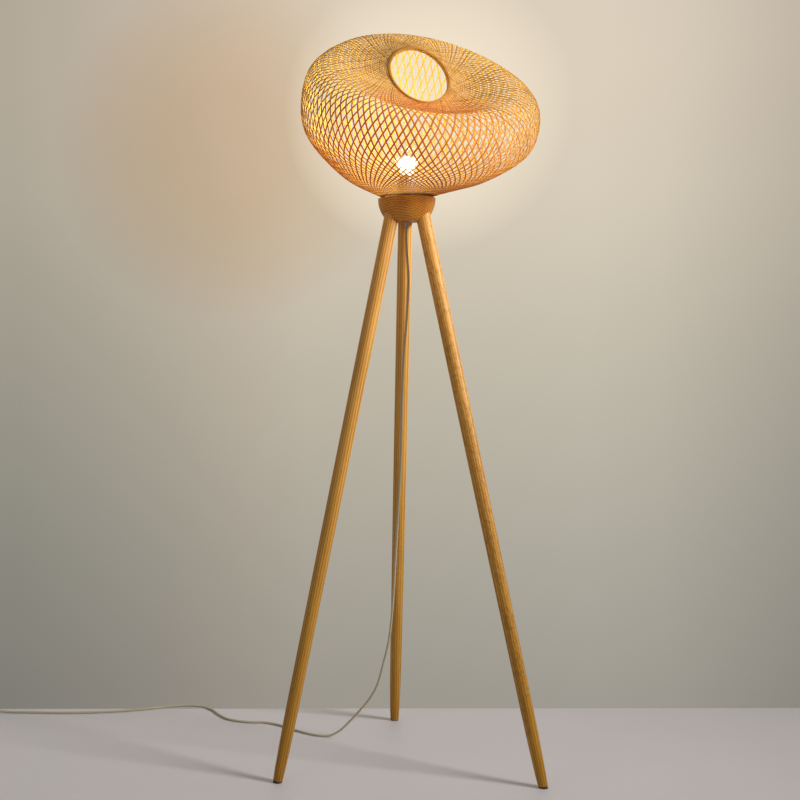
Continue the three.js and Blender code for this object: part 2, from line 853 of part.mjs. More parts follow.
/** What a fan leaves of a ring on Z: the ring's other part, from one angle on round to another. */
function fanTool(from, reach) {
  const half = fanSlotWidth / 2;
  const [start, end] = [from + (2 * Math.PI) / netFans, from + 2 * Math.PI];
  const edge = (angle, way, radius) => new THREE.Vector2(
    radius * Math.cos(angle) + way * half * Math.sin(angle),
    radius * Math.sin(angle) - way * half * Math.cos(angle),
  );
  const outer = [edge(start, 1, reach)];
  for (let step = 1; step < roundSides; step += 1) {
    const angle = start + ((end - start) * step) / roundSides;
    outer.push(new THREE.Vector2(reach * Math.cos(angle), reach * Math.sin(angle)));
  }
  outer.push(edge(end, -1, reach));
  const corner = new THREE.Vector2(-half * Math.cos((start + end) / 2), -half * Math.sin((start + end) / 2));
  const shape = new THREE.Shape([corner.multiplyScalar(2), ...outer]);
  const options = { depth: 2 * reach, bevelEnabled: false };
  return new THREE.ExtrudeGeometry(shape, options).translate(0, 0, -reach);
}

/** The matrix from a key ring's own frame, with Z through it and X down its slope, to the shade's. */
function ringMatrix(ring) {
  const { down, normal, across } = ringAxes(ring);
  return new THREE.Matrix4().makeBasis(down, across, normal).setPosition(ring.x, ring.y, ring.z);
}

/** One fan of strips of a family, with its share of the bands at the neck and the mouth. */
function netFan(rings, table, outer, fan) {
  const last = rings.length - 1;
  const [way, offset] = outer ? [1, layerOffset] : [-1, -layerOffset];
  const reach = (way * layerOffset) / 2 / (rings[1].radius - neckRadius);
  const stripEnd = last - (mouthBandShare + mouthHoopShare) / 2;
  const stations = stripStations(table, reach, stripEnd);
  const fanStrips = stripCount / netFans;
  const spacing = (2 * Math.PI) / stripCount;
  const first = fan * fanStrips * spacing;
  const strips = [];
  for (let index = 0; index < fanStrips; index += 1) {
    strips.push(stripGeometry(rings, table, stations, first + index * spacing, way));
  }
  const neckInner = outer ? neckBandOuter : neckBandInner;
  const neckTop = outer ? neckHeight : neckHeight + layerOffset;
  const neckStart = first - spacing / 2 + way * neckFanTurnShare * spacing;
  const neck = cut(band(neckInner, neckInner + stripThickness, gap, neckTop, bigSides), [
    ...pinTools(pinRadius + gap),
    fanTool(neckStart, shadeRadius).applyMatrix4(ringMatrix(rings[0])),
  ]);
  const deep = stripThickness / 2 + mouthBandProud;
  const mouthStart = first - spacing / 2 + way * readWinding(table, stripEnd, 'turn');
  const mouth = cut(surfaceRing(rings, [last - mouthBandShare, last], [offset - deep, offset + deep]), [
    fanTool(mouthStart, 2 * mouthRadius).applyMatrix4(ringMatrix(rings[last])),
  ]);
  return joined([neck, mouth, ...strips]);
}

/** The shade: two net layers in fans, and the hoops that clamp them at the neck and the mouth. */
function shadeParts() {
  const rings = shadeRings();
  const table = winding(rings);
  const last = rings.length - 1;
  const fans = Array.from({ length: netFans }, (_, fan) => fan);
  const neckHoop = (inner, top) => cut(
    band(inner, inner + hoopWall, gap, top, bigSides),
    pinTools(pinRadius + gap),
  );
  const mouthHoop = (depths) => surfaceRing(rings, [last - mouthHoopShare, last], depths);
  return placed([
    ...fans.map((fan) => part(`net_outer_${fan + 1}`, netFan(rings, table, true, fan), cane)),
    ...fans.map((fan) => part(`net_inner_${fan + 1}`, netFan(rings, table, false, fan), cane)),
    part('neck_hoop_inner', neckHoop(neckHoopInner, neckHeight), darkCane),
    part('neck_hoop_outer', neckHoop(neckHoopOuter, neckHoopTop), darkCane),
    part('mouth_hoop_inner', mouthHoop([-hoopOffset - hoopWall, -hoopOffset]), darkCane),
    part('mouth_hoop_outer', mouthHoop([hoopOffset, hoopOffset + hoopWall]), darkCane),
  ], 0, 0, hubSeat);
}

/** The lampholder on the carrier: base, shell, core, screw shell and contact. */
function holderParts() {
  const base = turnedRing([
    [nippleRadius + gap, 0],
    [holderBossRadius, 0],
    [holderBossRadius, holderBossHeight],
    [holderRadius, holderFloorHeight],
    [holderRadius, holderBaseHeight],
    [holderRadius - holderWall, holderBaseHeight],
    [holderRadius - holderWall, holderFloorHeight + holderWall],
    [holderBossRadius, holderBossHeight + holderWall],
    [nippleRadius + gap, holderBossHeight + holderWall],
  ]);
  const coreLow = holderFloorHeight + holderWall + gap;
  const coreRadius = holderRadius - holderWall - gap;
  const coreTop = coreLow + coreHeight;
  const core = band(cordRadius + gap, coreRadius, coreLow, coreTop);
  const shellLow = holderBaseHeight + gap;
  const shellTop = shellLow + holderShellHeight;
  const shell = turnedRing([
    [holderRadius - holderWall, shellLow],
    [holderRadius, shellLow],
    [holderRadius - holderWall / 2, shellTop],
    [holderLipRadius, shellTop],
    [holderLipRadius, shellTop - holderLipHeight],
    [holderRadius - holderWall - gap, shellTop - holderLipHeight],
  ]);
  const screwLow = coreTop + gap;
  const screwShell = turnedRing([
    [screwShellHoleRadius, screwLow],
    [screwShellRadius, screwLow],
    [screwShellRadius, screwLow + screwShellHeight],
    [screwShellRadius - screwShellWall, screwLow + screwShellHeight],
    [screwShellRadius - screwShellWall, screwLow + screwShellWall],
    [screwShellHoleRadius, screwLow + screwShellWall],
  ]);
  const contact = turned([
    [0, screwLow],
    [contactRadius, screwLow],
    [contactRadius, screwLow + contactHeight / 2],
    [0, screwLow + contactHeight],
  ], smallSides);
  const parts = placed([
    part('holder_base', base, whitePlastic),
    part('holder_shell', shell, whitePlastic),
    part('holder_core', core, whitePlastic),
    part('screw_shell', screwShell, brass),
    part('centre_contact', contact, brass),
  ], 0, 0, hubSeat + holderSeat);
  return { parts, bulbSeat: hubSeat + holderSeat + screwLow + contactHeight + gap, coreTop };
}

/** The bulb's glass, open at its neck, from the cap's top. */
function glassGeometry() {
  const centre = bulbHeight - bulbRadius;
  const outline = (shrink) => {
    const curve = new THREE.CatmullRomCurve3([
      new THREE.Vector3(bulbNeckRadius - shrink, 0, 0),
      new THREE.Vector3(bulbNeckRadius + bulbNeckSwell - shrink, bulbNeckRise, 0),
      new THREE.Vector3(
        bulbRadius * bulbShoulderRadiusShare - shrink,
        centre - bulbRadius * bulbShoulderDropShare,
        0,
      ),
      new THREE.Vector3(bulbRadius - shrink, centre, 0),
      new THREE.Vector3((bulbRadius - shrink) * Math.SQRT1_2, centre + (bulbRadius - shrink) * Math.SQRT1_2, 0),
      new THREE.Vector3(0, bulbHeight - shrink, 0),
    ]);
    return curve.getPoints(glassPoints).map((point) => [Math.max(point.x, 0), point.y]);
  };
  return turned([...outline(bulbGlassWall).reverse(), ...outline(0)], roundSides);
}

/** The stem with its rods, and the filaments between them. */
function filamentParts(capTop) {
  const flareRadius = bulbNeckRadius - bulbGlassWall - gap;
  const stem = turned([
    [0, capTop],
    [flareRadius, capTop],
    [stemRadius, capTop + stemFlareHeight],
    [stemTipRadius, capTop + stemHeight],
    [0, capTop + stemHeight],
  ], smallSides);
  const low = capTop + stemHeight + gap;
  const high = low + filamentLength;
  const hub = rod(stemTipRadius, low, low + 2 * filamentRadius, smallSides);
  const mast = rod(supportRadius, low, high, smallSides);
  const pieces = [hub, mast];
  for (let index = 0; index < filamentCount; index += 1) {
    const angle = (2 * Math.PI * index) / filamentCount;
    const [x, y] = [Math.cos(angle), Math.sin(angle)];
    const foot = new THREE.Vector3(x * filamentFootCircle, y * filamentFootCircle, low + filamentRadius);
    const top = new THREE.Vector3(x * filamentTopCircle, y * filamentTopCircle, high);
    pieces.push(strut(foot, top, filamentRadius, wireSides));
    pieces.push(strut(new THREE.Vector3(0, 0, low + filamentRadius), foot, supportRadius, wireSides));
    pieces.push(strut(new THREE.Vector3(0, 0, high - supportRadius), top, supportRadius, wireSides));
  }
  return [part('bulb_stem', stem, glass), part('bulb_filaments', joined(pieces), glow)];
}

/** The filament bulb, from the underside of its contact. */
function bulbParts(seat) {
  const insulatorLow = solderHeight + gap;
  const capLow = insulatorLow + insulatorHeight + gap;
  const capTop = capLow + capHeight;
  const solder = turned([
    [0, 0],
    [solderRadius * solderTipShare, 0],
    [solderRadius, solderHeight],
    [0, solderHeight],
  ], smallSides);
  const insulator = turned([
    [0, insulatorLow],
    [insulatorTipRadius, insulatorLow],
    [capRimRadius, insulatorLow + insulatorHeight],
    [0, insulatorLow + insulatorHeight],
  ], smallSides);
  const cap = turnedRing([
    [capRimRadius - capWall, capLow],
    [capRimRadius, capLow],
    [capRadius, capLow + 2 * insulatorHeight],
    [capRadius, capTop],
    [capRadius - capWall, capTop],
    [capRadius - capWall, capLow + 2 * insulatorHeight],
  ]);
  const glassLow = capTop + gap;
  return placed([
    part('bulb_contact', solder, steel),
    part('bulb_insulator', insulator, blackPlastic),
    part('bulb_cap', cap, brass),
    part('bulb_glass', glassGeometry().translate(0, 0, glassLow), glass),
    ...filamentParts(glassLow),
  ], 0, 0, seat);
}

/** The stretch of cord inside the hub and the nipple. */
function cordRiser(top) {
  return part('cord_riser', rod(cordRadius, glandTip, top, cordSides), greyCord);
}

/** Points as vectors. */
function vectors(points) {
  return points.map(([x, y, z]) => new THREE.Vector3(x, y, z));
}

/** The free cord from the gland down to the floor and along it to the switch. */
function cordRun() {
  const start = new THREE.Vector3(0, 0, glandTip - gap);
  const end = new THREE.Vector3(
    switchPlace[0] + switchLength / 2 + switchTailLength + gap,
    switchPlace[1],
    switchTailHeight,
  );
  const fall = vectors(cordFallPoints.map(([x, y, share]) => [x, y, share * start.z]));
  const floor = vectors(cordFloorPoints.map(([x, y]) => [x, y, cordRadius + gap]));
  const lead = end.clone().add(new THREE.Vector3(2 * switchTailLength, 0, 0));
  const curve = new THREE.CatmullRomCurve3([start, ...fall, ...floor, lead, end]);
  return part('cord_run', tube(curve, cordRadius, cordSides, cordRunSteps), greyCord);
}

/** The switch's base: a tray with a tapered tail at each end. */
function switchBaseGeometry() {
  const shell = plate(switchLength, switchWidth, switchCorner, 0, switchBaseHeight);
  const hollow = plate(
    switchLength - 2 * switchWall,
    switchWidth - 2 * switchWall,
    switchCorner - switchWall,
    switchWall,
    switchBaseHeight + overrun,
  );
  const half = switchLength / 2;
  const tail = turned([
    [0, half - switchWall],
    [switchTailRadius, half - switchWall],
    [cordRadius + 2 * gap, half + switchTailLength],
    [0, half + switchTailLength],
  ], smallSides);
  const tails = [1, -1].map((way) => tail.clone().rotateY((way * Math.PI) / 2).translate(0, 0, switchTailHeight));
  return cut(joined([shell, ...tails]), [hollow]);
}

/** The switch's cover, with the round hole that guides the button. */
function switchCoverGeometry() {
  const low = switchBaseHeight + gap;
  const high = low + switchCoverHeight;
  const rounding = switchWall;
  const body = joined([
    plate(switchLength, switchWidth, switchCorner, low, high - rounding),
    plate(switchLength - rounding, switchWidth - rounding, switchCorner - rounding / 2, low, high - rounding / 3),
    plate(switchLength - 2 * rounding, switchWidth - 2 * rounding, switchCorner - rounding, low, high),
  ]);
  return cut(body, [
    plate(
      switchLength - 2 * switchWall,
      switchWidth - 2 * switchWall,
      switchCorner - switchWall,
      low - overrun,
      high - switchWall,
    ),
    rod(buttonRadius + gap, low, high + overrun),
  ]);
}

/** The foot switch: base, cover, button and the contact block under it. */
function switchParts() {
  const coverTop = switchBaseHeight + gap + switchCoverHeight;
  const flangeTop = coverTop - switchWall - gap;
  const flangeLow = flangeTop - buttonFlangeHeight;
  const button = turned([
    [0, flangeLow],
    [buttonRadius + buttonFlange, flangeLow],
    [buttonRadius + buttonFlange, flangeTop],
    [buttonRadius, flangeTop],
    [buttonRadius, coverTop + buttonProud * buttonEdgeShare],
    [buttonRadius * buttonFaceShare, coverTop + buttonProud],
    [0, coverTop + buttonProud],
  ]);
  const blockTop = flangeLow - buttonTravel - gap;
  const block = plate(blockLength, blockWidth, switchWall, switchWall + gap, blockTop);
  return placed([
    part('switch_base', switchBaseGeometry(), whitePlastic),
    part('switch_cover', switchCoverGeometry(), whitePlastic),
    part('switch_button', button, whitePlastic),
    part('switch_block', block, blackPlastic),
  ], switchPlace[0], switchPlace[1], 0);
}

/** Where the coil's middle lies, one short link past the switch. */
function coilPlace() {
  const outer = coilMeanRadius + (coilTurns / coilLayers / 2) * coilPitch;
  const start = switchPlace[0] - switchLength / 2 - switchTailLength - coilLead;
  return { x: start - 2 * cordRadius, y: switchPlace[1] - outer, outer };
}

/** The coil's centreline: in at the floor, up a layer at the smallest turn, and out again on top. */
function coilPoint(turn, place) {
  const turnsPerLayer = coilTurns / coilLayers;
  const inward = Math.min(turn, coilTurns - turn);
  const radius = place.outer - coilPitch * Math.min(inward, turnsPerLayer);
  const climb = THREE.MathUtils.clamp(2 * (turn - turnsPerLayer + 0.25), 0, 1);
  const lift = climb * climb * (3 - 2 * climb) * coilPitch;
  const angle = Math.PI / 2 + 2 * Math.PI * turn;
  return new THREE.Vector3(
    place.x + radius * Math.cos(angle),
    place.y + radius * Math.sin(angle),
    coilBottom + lift,
  );
}

/** The coil's centreline points, with a straight end of one diameter at each end. */
function coilCentres(place) {
  const steps = coilTurns * coilLoopSteps;
  const points = [];
  for (let step = 0; step <= steps; step += 1) points.push(coilPoint((coilTurns * step) / steps, place));
  const end = 2 * cordRadius;
  points.unshift(points[0].clone().add(new THREE.Vector3(end, 0, 0)));
  points.push(points[points.length - 1].clone().add(new THREE.Vector3(-end, 0, 0)));
  return points;
}

/** The least clear gap between the coil's turns, measured on points of its centreline. */
function coilSelfGap(points) {
  let least = Infinity;
  for (let first = 0; first < points.length; first += 1) {
    for (let second = first + coilLoopSteps / 2; second < points.length; second += 1) {
      least = Math.min(least, points[first].distanceTo(points[second]) - 2 * cordRadius);
    }
  }
  return least;
}

/** The wound coil as one unbroken tube. */
function coilGeometry(points) {
  const up = new THREE.Vector3(0, 0, 1);
  const sections = points.map((point, index) => {
    const before = points[Math.max(index - 1, 0)];
    const after = points[Math.min(index + 1, points.length - 1)];
    const ahead = after.clone().sub(before).setZ(0).normalize();
    const across = new THREE.Vector3().crossVectors(ahead, up);
    const section = [];
    for (let side = 0; side < coilSides; side += 1) {
      const angle = (2 * Math.PI * (side + 0.5)) / coilSides;
      section.push(point.clone()
        .addScaledVector(across, cordRadius * Math.cos(angle))
        .addScaledVector(up, cordRadius * Math.sin(angle)));
    }
    return section;
  });
  return lofted(sections);
}

/** The band that ties the coil, round its section on the side away from the lamp. */
function tieGeometry(place) {
  const angle = THREE.MathUtils.degToRad(tieDegrees);
  const turnsPerLayer = coilTurns / coilLayers;
  const width = coilPitch * (turnsPerLayer + 1) + 2 * cordRadius;
  const height = coilPitch * (coilLayers - 1) + 2 * cordRadius;
  const [inner, outer] = [2 * gap, 2 * gap + 2 * tieThickness];
  const body = plate(width + outer, height + outer, cordRadius + tieThickness, -tieWidth / 2, tieWidth / 2);
  const hole = plate(width + inner, height + inner, cordRadius, -tieWidth, tieWidth);
  return cut(body, [hole])
    .rotateX(Math.PI / 2)
    .rotateZ(angle)
    .translate(
      place.x + (coilMeanRadius - tieInset) * Math.cos(angle),
      place.y + (coilMeanRadius - tieInset) * Math.sin(angle),
      coilFloor - gap - tieThickness + (height + outer) / 2,
    );
}

/** The link, the coil with its tie, and the tail that ends at the plug. */
function coilParts() {
  const place = coilPlace();
  const centres = coilCentres(place);
  console.log(`least gap between the coil's turns: ${coilSelfGap(centres).toFixed(2)} mm`);
  const linkStart = new THREE.Vector3(
    switchPlace[0] - switchLength / 2 - switchTailLength - gap,
    switchPlace[1],
    switchTailHeight,
  );
  const linkEnd = centres[0].clone().add(new THREE.Vector3(gap, 0, 0));
  const tailStart = centres[centres.length - 1].clone().add(new THREE.Vector3(-gap, 0, 0));
  const plug = plugPlace(tailStart);
  const tailCurve = new THREE.CatmullRomCurve3([
    tailStart,
    ...vectors(cordTailPoints).map((point) => new THREE.Vector3(
      tailStart.x + point.x,
      tailStart.y + point.y,
      point.z,
    )),
    plug.cordEnd.clone().add(new THREE.Vector3(0, 2 * cordRadius, 0)),
    plug.cordEnd,
  ]);
  return {
    plug,
    parts: [
      part('cord_link', tube(new THREE.LineCurve3(linkStart, linkEnd), cordRadius, cordSides, cordLinkSteps), greyCord),
      part('cord_coil', coilGeometry(centres), greyCord),
      part('cord_tie', tieGeometry(place), blackPlastic),
      part('cord_tail', tube(tailCurve, cordRadius, cordSides, cordTailSteps), greyCord),
    ],
  };
}

/** Where the plug lies beside the coil, pins away from the lamp's front. */
function plugPlace(tailStart) {
  const last = cordTailPoints[cordTailPoints.length - 1];
  const cordEnd = new THREE.Vector3(
    tailStart.x + last[0],
    tailStart.y + last[1] - plugCordLead,
    plugHeight,
  );
  return { cordEnd };
}

/** A slim two-pin plug body with a tapered tail, its pins along Z. */
function plugBodyGeometry() {
  const section = (length, width, corner, height) => {
    const points = roundedRectangle(length, width, corner).getPoints(4);
    points.pop();
    return points.map((point) => new THREE.Vector3(point.x, point.y, height));
  };
  const tip = 2 * (cordRadius + 2 * gap);
  const tail = 2 * plugTailRadius;
  const sections = plugSectionShares.map(([alongTail, alongBody, widening, thickening, roundness]) => {
    const width = tail + (plugWidth - tail) * widening;
    const thickness = tail + (plugThickness - tail) * thickening;
    const height = plugTailLength * alongTail + plugLength * alongBody;
    return section(width, thickness, (thickness / 2) * roundness, height);
  });
  const [, , , , tipRoundness] = plugSectionShares[0];
  return lofted([section(tip, tip, (tip / 2) * tipRoundness, 0), ...sections]);
}

/** The plug: its body and two pins, laid on the floor at the tail's end. */
function plugParts(plug) {
  const face = plugTailLength + plugLength;
  const holes = [1, -1].map((way) => rod(
    plugPinRadius + gap,
    face - plugPinLength / 2,
    face + overrun,
    smallSides,
  ).translate((way * pinSpacing) / 2, 0, 0));
  const pin = turned([
    [0, face - plugPinLength / 2 + gap],
    [plugPinRadius, face - plugPinLength / 2 + gap],
    [plugPinRadius, face + plugPinLength - plugPinRadius],
    [plugPinRadius / 2, face + plugPinLength],
    [0, face + plugPinLength],
  ], smallSides);
  const group = placed([
    part('plug_body', cut(plugBodyGeometry(), holes), whitePlastic),
    part('plug_pin_left', pin.clone().translate(-pinSpacing / 2, 0, 0), brass),
    part('plug_pin_right', pin.clone().translate(pinSpacing / 2, 0, 0), brass),
  ], plug.cordEnd.x, plug.cordEnd.y - gap, plug.cordEnd.z);
  group.rotation.x = Math.PI / 2;
  return group;
}

/** The lamp itself, without the free cord. */
function lampParts() {
  const holder = holderParts();
  return [
    ...Object.entries(legHeadingDegrees).flatMap(([side, heading]) => legParts(side, heading)),
    part('hub', hubGeometry(), darkAsh),
    part('cord_gland', glandGeometry(), greyCord),
    carrierParts(),
    holder.parts,
    bulbParts(holder.bulbSeat),
    shadeParts(),
    cordRiser(hubSeat + holderSeat + holder.coreTop),
  ];
}

const lamp = new THREE.Group();
lamp.add(...lampParts());
const reach = new THREE.Box3().setFromObject(lamp, true);
const middle = reach.getCenter(new THREE.Vector3());
const coil = coilParts();
lamp.add(cordRun(), switchParts(), ...coil.parts, plugParts(coil.plug));
lamp.position.set(-middle.x, -middle.y, -reach.min.z);

const root = new THREE.Group();
root.add(lamp);

export default root;
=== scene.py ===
"""Looks of a tripod floor lamp with a netted cane shade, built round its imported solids.

Metres, +Z up. Each sub-assembly is a class that holds its sizes and builds its pieces. The camera and
the cord come first, then the tripod and the shade. The solids that stay, such as the lampholder and its
bulb, are dressed where they are.
"""

import json
import logging
import math
import random
from dataclasses import dataclass, replace
from enum import Enum

import bpy
import numpy as np
from mathutils import Matrix, Vector


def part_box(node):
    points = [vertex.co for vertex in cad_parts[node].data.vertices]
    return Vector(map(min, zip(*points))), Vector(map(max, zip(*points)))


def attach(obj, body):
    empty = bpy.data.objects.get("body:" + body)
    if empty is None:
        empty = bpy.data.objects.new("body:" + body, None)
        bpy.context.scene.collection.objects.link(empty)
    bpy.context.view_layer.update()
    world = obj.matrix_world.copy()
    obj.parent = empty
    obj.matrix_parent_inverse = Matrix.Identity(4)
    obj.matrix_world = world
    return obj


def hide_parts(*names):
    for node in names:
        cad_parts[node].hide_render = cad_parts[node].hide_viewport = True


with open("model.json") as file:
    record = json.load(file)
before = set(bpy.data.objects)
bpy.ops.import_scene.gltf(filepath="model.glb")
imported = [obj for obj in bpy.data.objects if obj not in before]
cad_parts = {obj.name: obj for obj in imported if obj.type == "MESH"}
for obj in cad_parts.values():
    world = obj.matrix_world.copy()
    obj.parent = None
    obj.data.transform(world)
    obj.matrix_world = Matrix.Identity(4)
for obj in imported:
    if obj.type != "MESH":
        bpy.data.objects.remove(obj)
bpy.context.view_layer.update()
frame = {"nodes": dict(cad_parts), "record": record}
LOG = logging.getLogger("floor_lamp")
LAMP = "lamp"
Triple = tuple[float, float, float]
Colour = Triple
BLACK: Colour = (0.0, 0.0, 0.0)
NO_TURN: Triple = (0.0, 0.0, 0.0)
SHARP_ANGLE = math.radians(35.0)


class Socket:
    """A node's output that can be used in sums."""

    def __init__(self, graph: "Graph", socket: bpy.types.NodeSocket) -> None:
        """Wraps an output of a node in a graph."""
        self.graph = graph
        self.socket = socket

    def _math(self, operation: str, first: object, second: object) -> "Socket":
        """Adds a Math node on two numbers or sockets."""
        return self.graph.node("ShaderNodeMath", {"operation": operation}, {0: first, 1: second})

    def __add__(self, other: object) -> "Socket":
        """The sum."""
        return self._math("ADD", self, other)

    def __radd__(self, other: object) -> "Socket":
        """The sum."""
        return self._math("ADD", other, self)

    def __sub__(self, other: object) -> "Socket":
        """The difference."""
        return self._math("SUBTRACT", self, other)

    def __rsub__(self, other: object) -> "Socket":
        """The difference."""
        return self._math("SUBTRACT", other, self)

    def __mul__(self, other: object) -> "Socket":
        """The product."""
        return self._math("MULTIPLY", self, other)

    def __rmul__(self, other: object) -> "Socket":
        """The product."""
        return self._math("MULTIPLY", other, self)

    def __pow__(self, other: object) -> "Socket":
        """The power."""
        return self._math("POWER", self, other)

    def __rpow__(self, other: object) -> "Socket":
        """The power."""
        return self._math("POWER", other, self)

    def clamped(self) -> "Socket":
        """The value kept between nought and one."""
        return self._math("MINIMUM", self._math("MAXIMUM", self, 0.0), 1.0)

    def rising(self, start: float, slope: float) -> "Socket":
        """How far the value has risen past a start, times a slope, kept between nought and one."""
        return ((self - start) * slope).clamped()

    def falling(self, start: float, slope: float) -> "Socket":
        """A start less the value times a slope, kept between nought and one."""
        return (start - self * slope).clamped()

    def between(self, low: float, high: float) -> "Socket":
        """The value, from nought to one, stretched to a range."""
        return self * (high - low) + low


class Graph:
    """The node graph of one material."""

    NOISE_ROUGHNESS = 0.55

    def __init__(self, name: str) -> None:
        """Starts a material with one shader.

        Args:
            name: The material's name.
        """
        self.material = bpy.data.materials.new(name)
        self.material.use_nodes = True
        self.tree = self.material.node_tree
        self.shader = self.tree.nodes["Principled BSDF"]

    def node(self, kind: str, settings: dict | None = None, inputs: dict | None = None,
             output: int | str = 0) -> Socket:
        """Adds a node.

        Args:
            kind: The node's type.
            settings: Its properties, set first. "stops" holds a colour ramp's stops.
            inputs: Values or links of its sockets, by name or place.
            output: The output to return.

        Returns:
            That output.
        """
        made = self.tree.nodes.new(kind)
        for name, value in (settings or {}).items():
            if name == "stops":
                self._set_stops(made.color_ramp.elements, value)
            else:
                setattr(made, name, value)
        for name, value in (inputs or {}).items():
            if isinstance(value, Socket):
                self.tree.links.new(value.socket, made.inputs[name])
            else:
                made.inputs[name].default_value = value
        return Socket(self, made.outputs[output])

    @staticmethod
    def _set_stops(elements: bpy.types.ColorRampElements, stops: tuple) -> None:
        """Sets a ramp's stops.

        Args:
            elements: The ramp's elements.
            stops: Pairs of place and colour.
        """
        while len(elements) < len(stops):
            elements.new(0.5)
        for element, (place, colour) in zip(elements, stops):
            element.position = place
            element.color = (*colour, 1.0)

    def place(self) -> Socket:
        """The point's place in the lamp's frame."""
        return self.node("ShaderNodeTexCoord", output="Object")

    def vector(self, operation: str, first: object, second: object = None, output: int | str = 0) -> Socket:
        """Adds a Vector Math node on one or two vectors."""
        values = {0: first} if second is None else {0: first, 1: second}
        return self.node("ShaderNodeVectorMath", {"operation": operation}, values, output)

    def axis(self, vector: Socket, index: int) -> Socket:
        """One part of a vector, counted from nought."""
        return self.node("ShaderNodeSeparateXYZ", None, {0: vector}, index)

    def turned(self, rotation: Triple, scale: Triple, centre: Triple = (0.0, 0.0, 0.0)) -> Socket:
        """The point's place about a centre, turned and scaled.

        Args:
            rotation: Euler angles that undo the piece's own turn.
            scale: Scale along each axis afterwards.
            centre: The point that becomes the origin.

        Returns:
            The vector.
        """
        moved = self.vector("SUBTRACT", self.place(), centre)
        turn = self.node("ShaderNodeVectorRotate", {"rotation_type": "EULER_XYZ", "invert": True},
                         {"Vector": moved, "Rotation": rotation})
        return self.vector("MULTIPLY", turn, scale)

    def noise(self, vector: Socket, scale: float, detail: float) -> Socket:
        """Noise between nought and one, at a vector."""
        values = {"Vector": vector, "Scale": scale, "Detail": detail, "Roughness": self.NOISE_ROUGHNESS}
        return self.node("ShaderNodeTexNoise", None, values)

    def ramp(self, factor: Socket, stops: tuple) -> Socket:
        """A colour ramp with stops of place and colour."""
        return self.node("ShaderNodeValToRGB", {"stops": stops}, {0: factor})

    def mix(self, factor: object, first: object, second: object, blend: str = "MIX") -> Socket:
        """A mix of two colours.

        Args:
            factor: How much of the second.
            first: The first colour or socket.
            second: The second colour or socket.
            blend: How they mix.

        Returns:
            The colour.
        """
        pair = [value if isinstance(value, Socket) else (*value, 1.0) for value in (first, second)]
        return self.node("ShaderNodeMix", {"data_type": "RGBA", "blend_type": blend},
                         {0: factor, 6: pair[0], 7: pair[1]}, 2)

    def marked(self, ground: object, mask: Socket, cover: tuple[float, float], dark: Colour) -> Socket:
        """A ground with dark marks.

        Args:
            ground: The ground's colour or socket.
            mask: Where the marks lie.
            cover: How far the marks cover it, and how much of the dark colour they have.
            dark: The dark colour.

        Returns:
            The colour.
        """
        return self.mix(mask * cover[0], ground, toned(dark, cover[1]))

    def bump(self, height: Socket, strength: float, distance: float) -> Socket:
        """A normal from a height, with its strength and its size in metres."""
        values = {"Height": height, "Strength": strength, "Distance": distance}
        return self.node("ShaderNodeBump", None, values)

    def feed(self, **sockets: object) -> bpy.types.Material:
        """Sets the shader's sockets.

        Args:
            **sockets: Values or sockets, named as the shader names them, with _ for a space.

        Returns:
            The finished material.
        """
        for name, value in sockets.items():
            target = self.shader.inputs[name.replace("_", " ")]
            if isinstance(value, Socket):
                self.tree.links.new(value.socket, target)
            elif isinstance(value, tuple) and len(value) == 3 and target.type == "RGBA":
                target.default_value = (*value, 1.0)
            else:
                target.default_value = value
        return self.material


class SkyGraph(Graph):
    """The node graph of the world, whose shader is its background."""

    def __init__(self, name: str) -> None:
        """Starts a world.

        Args:
            name: The world's name.
        """
        self.world = bpy.data.worlds.new(name)
        self.world.use_nodes = True
        self.material = None
        self.tree = self.world.node_tree
        self.shader = self.tree.nodes["Background"]


def toned(colour: Colour, share: float) -> Colour:
    """A colour with each part multiplied by a share."""
    return tuple(share * part for part in colour)


@dataclass(frozen=True)
class Finish:
    """What a surface is made of.

    Attributes:
        name: The material's name.
    """

    name: str

    def build(self) -> bpy.types.Material:
        """Makes the material."""
        graph = Graph(self.name)
        return graph.feed(**self.surface(graph))

    def surface(self, g: Graph) -> dict:
        """Adds the surface's nodes.

        Args:
            g: The material's graph.

        Returns:
            What the shader's sockets take, by their names with _ for a space.
        """
        raise NotImplementedError


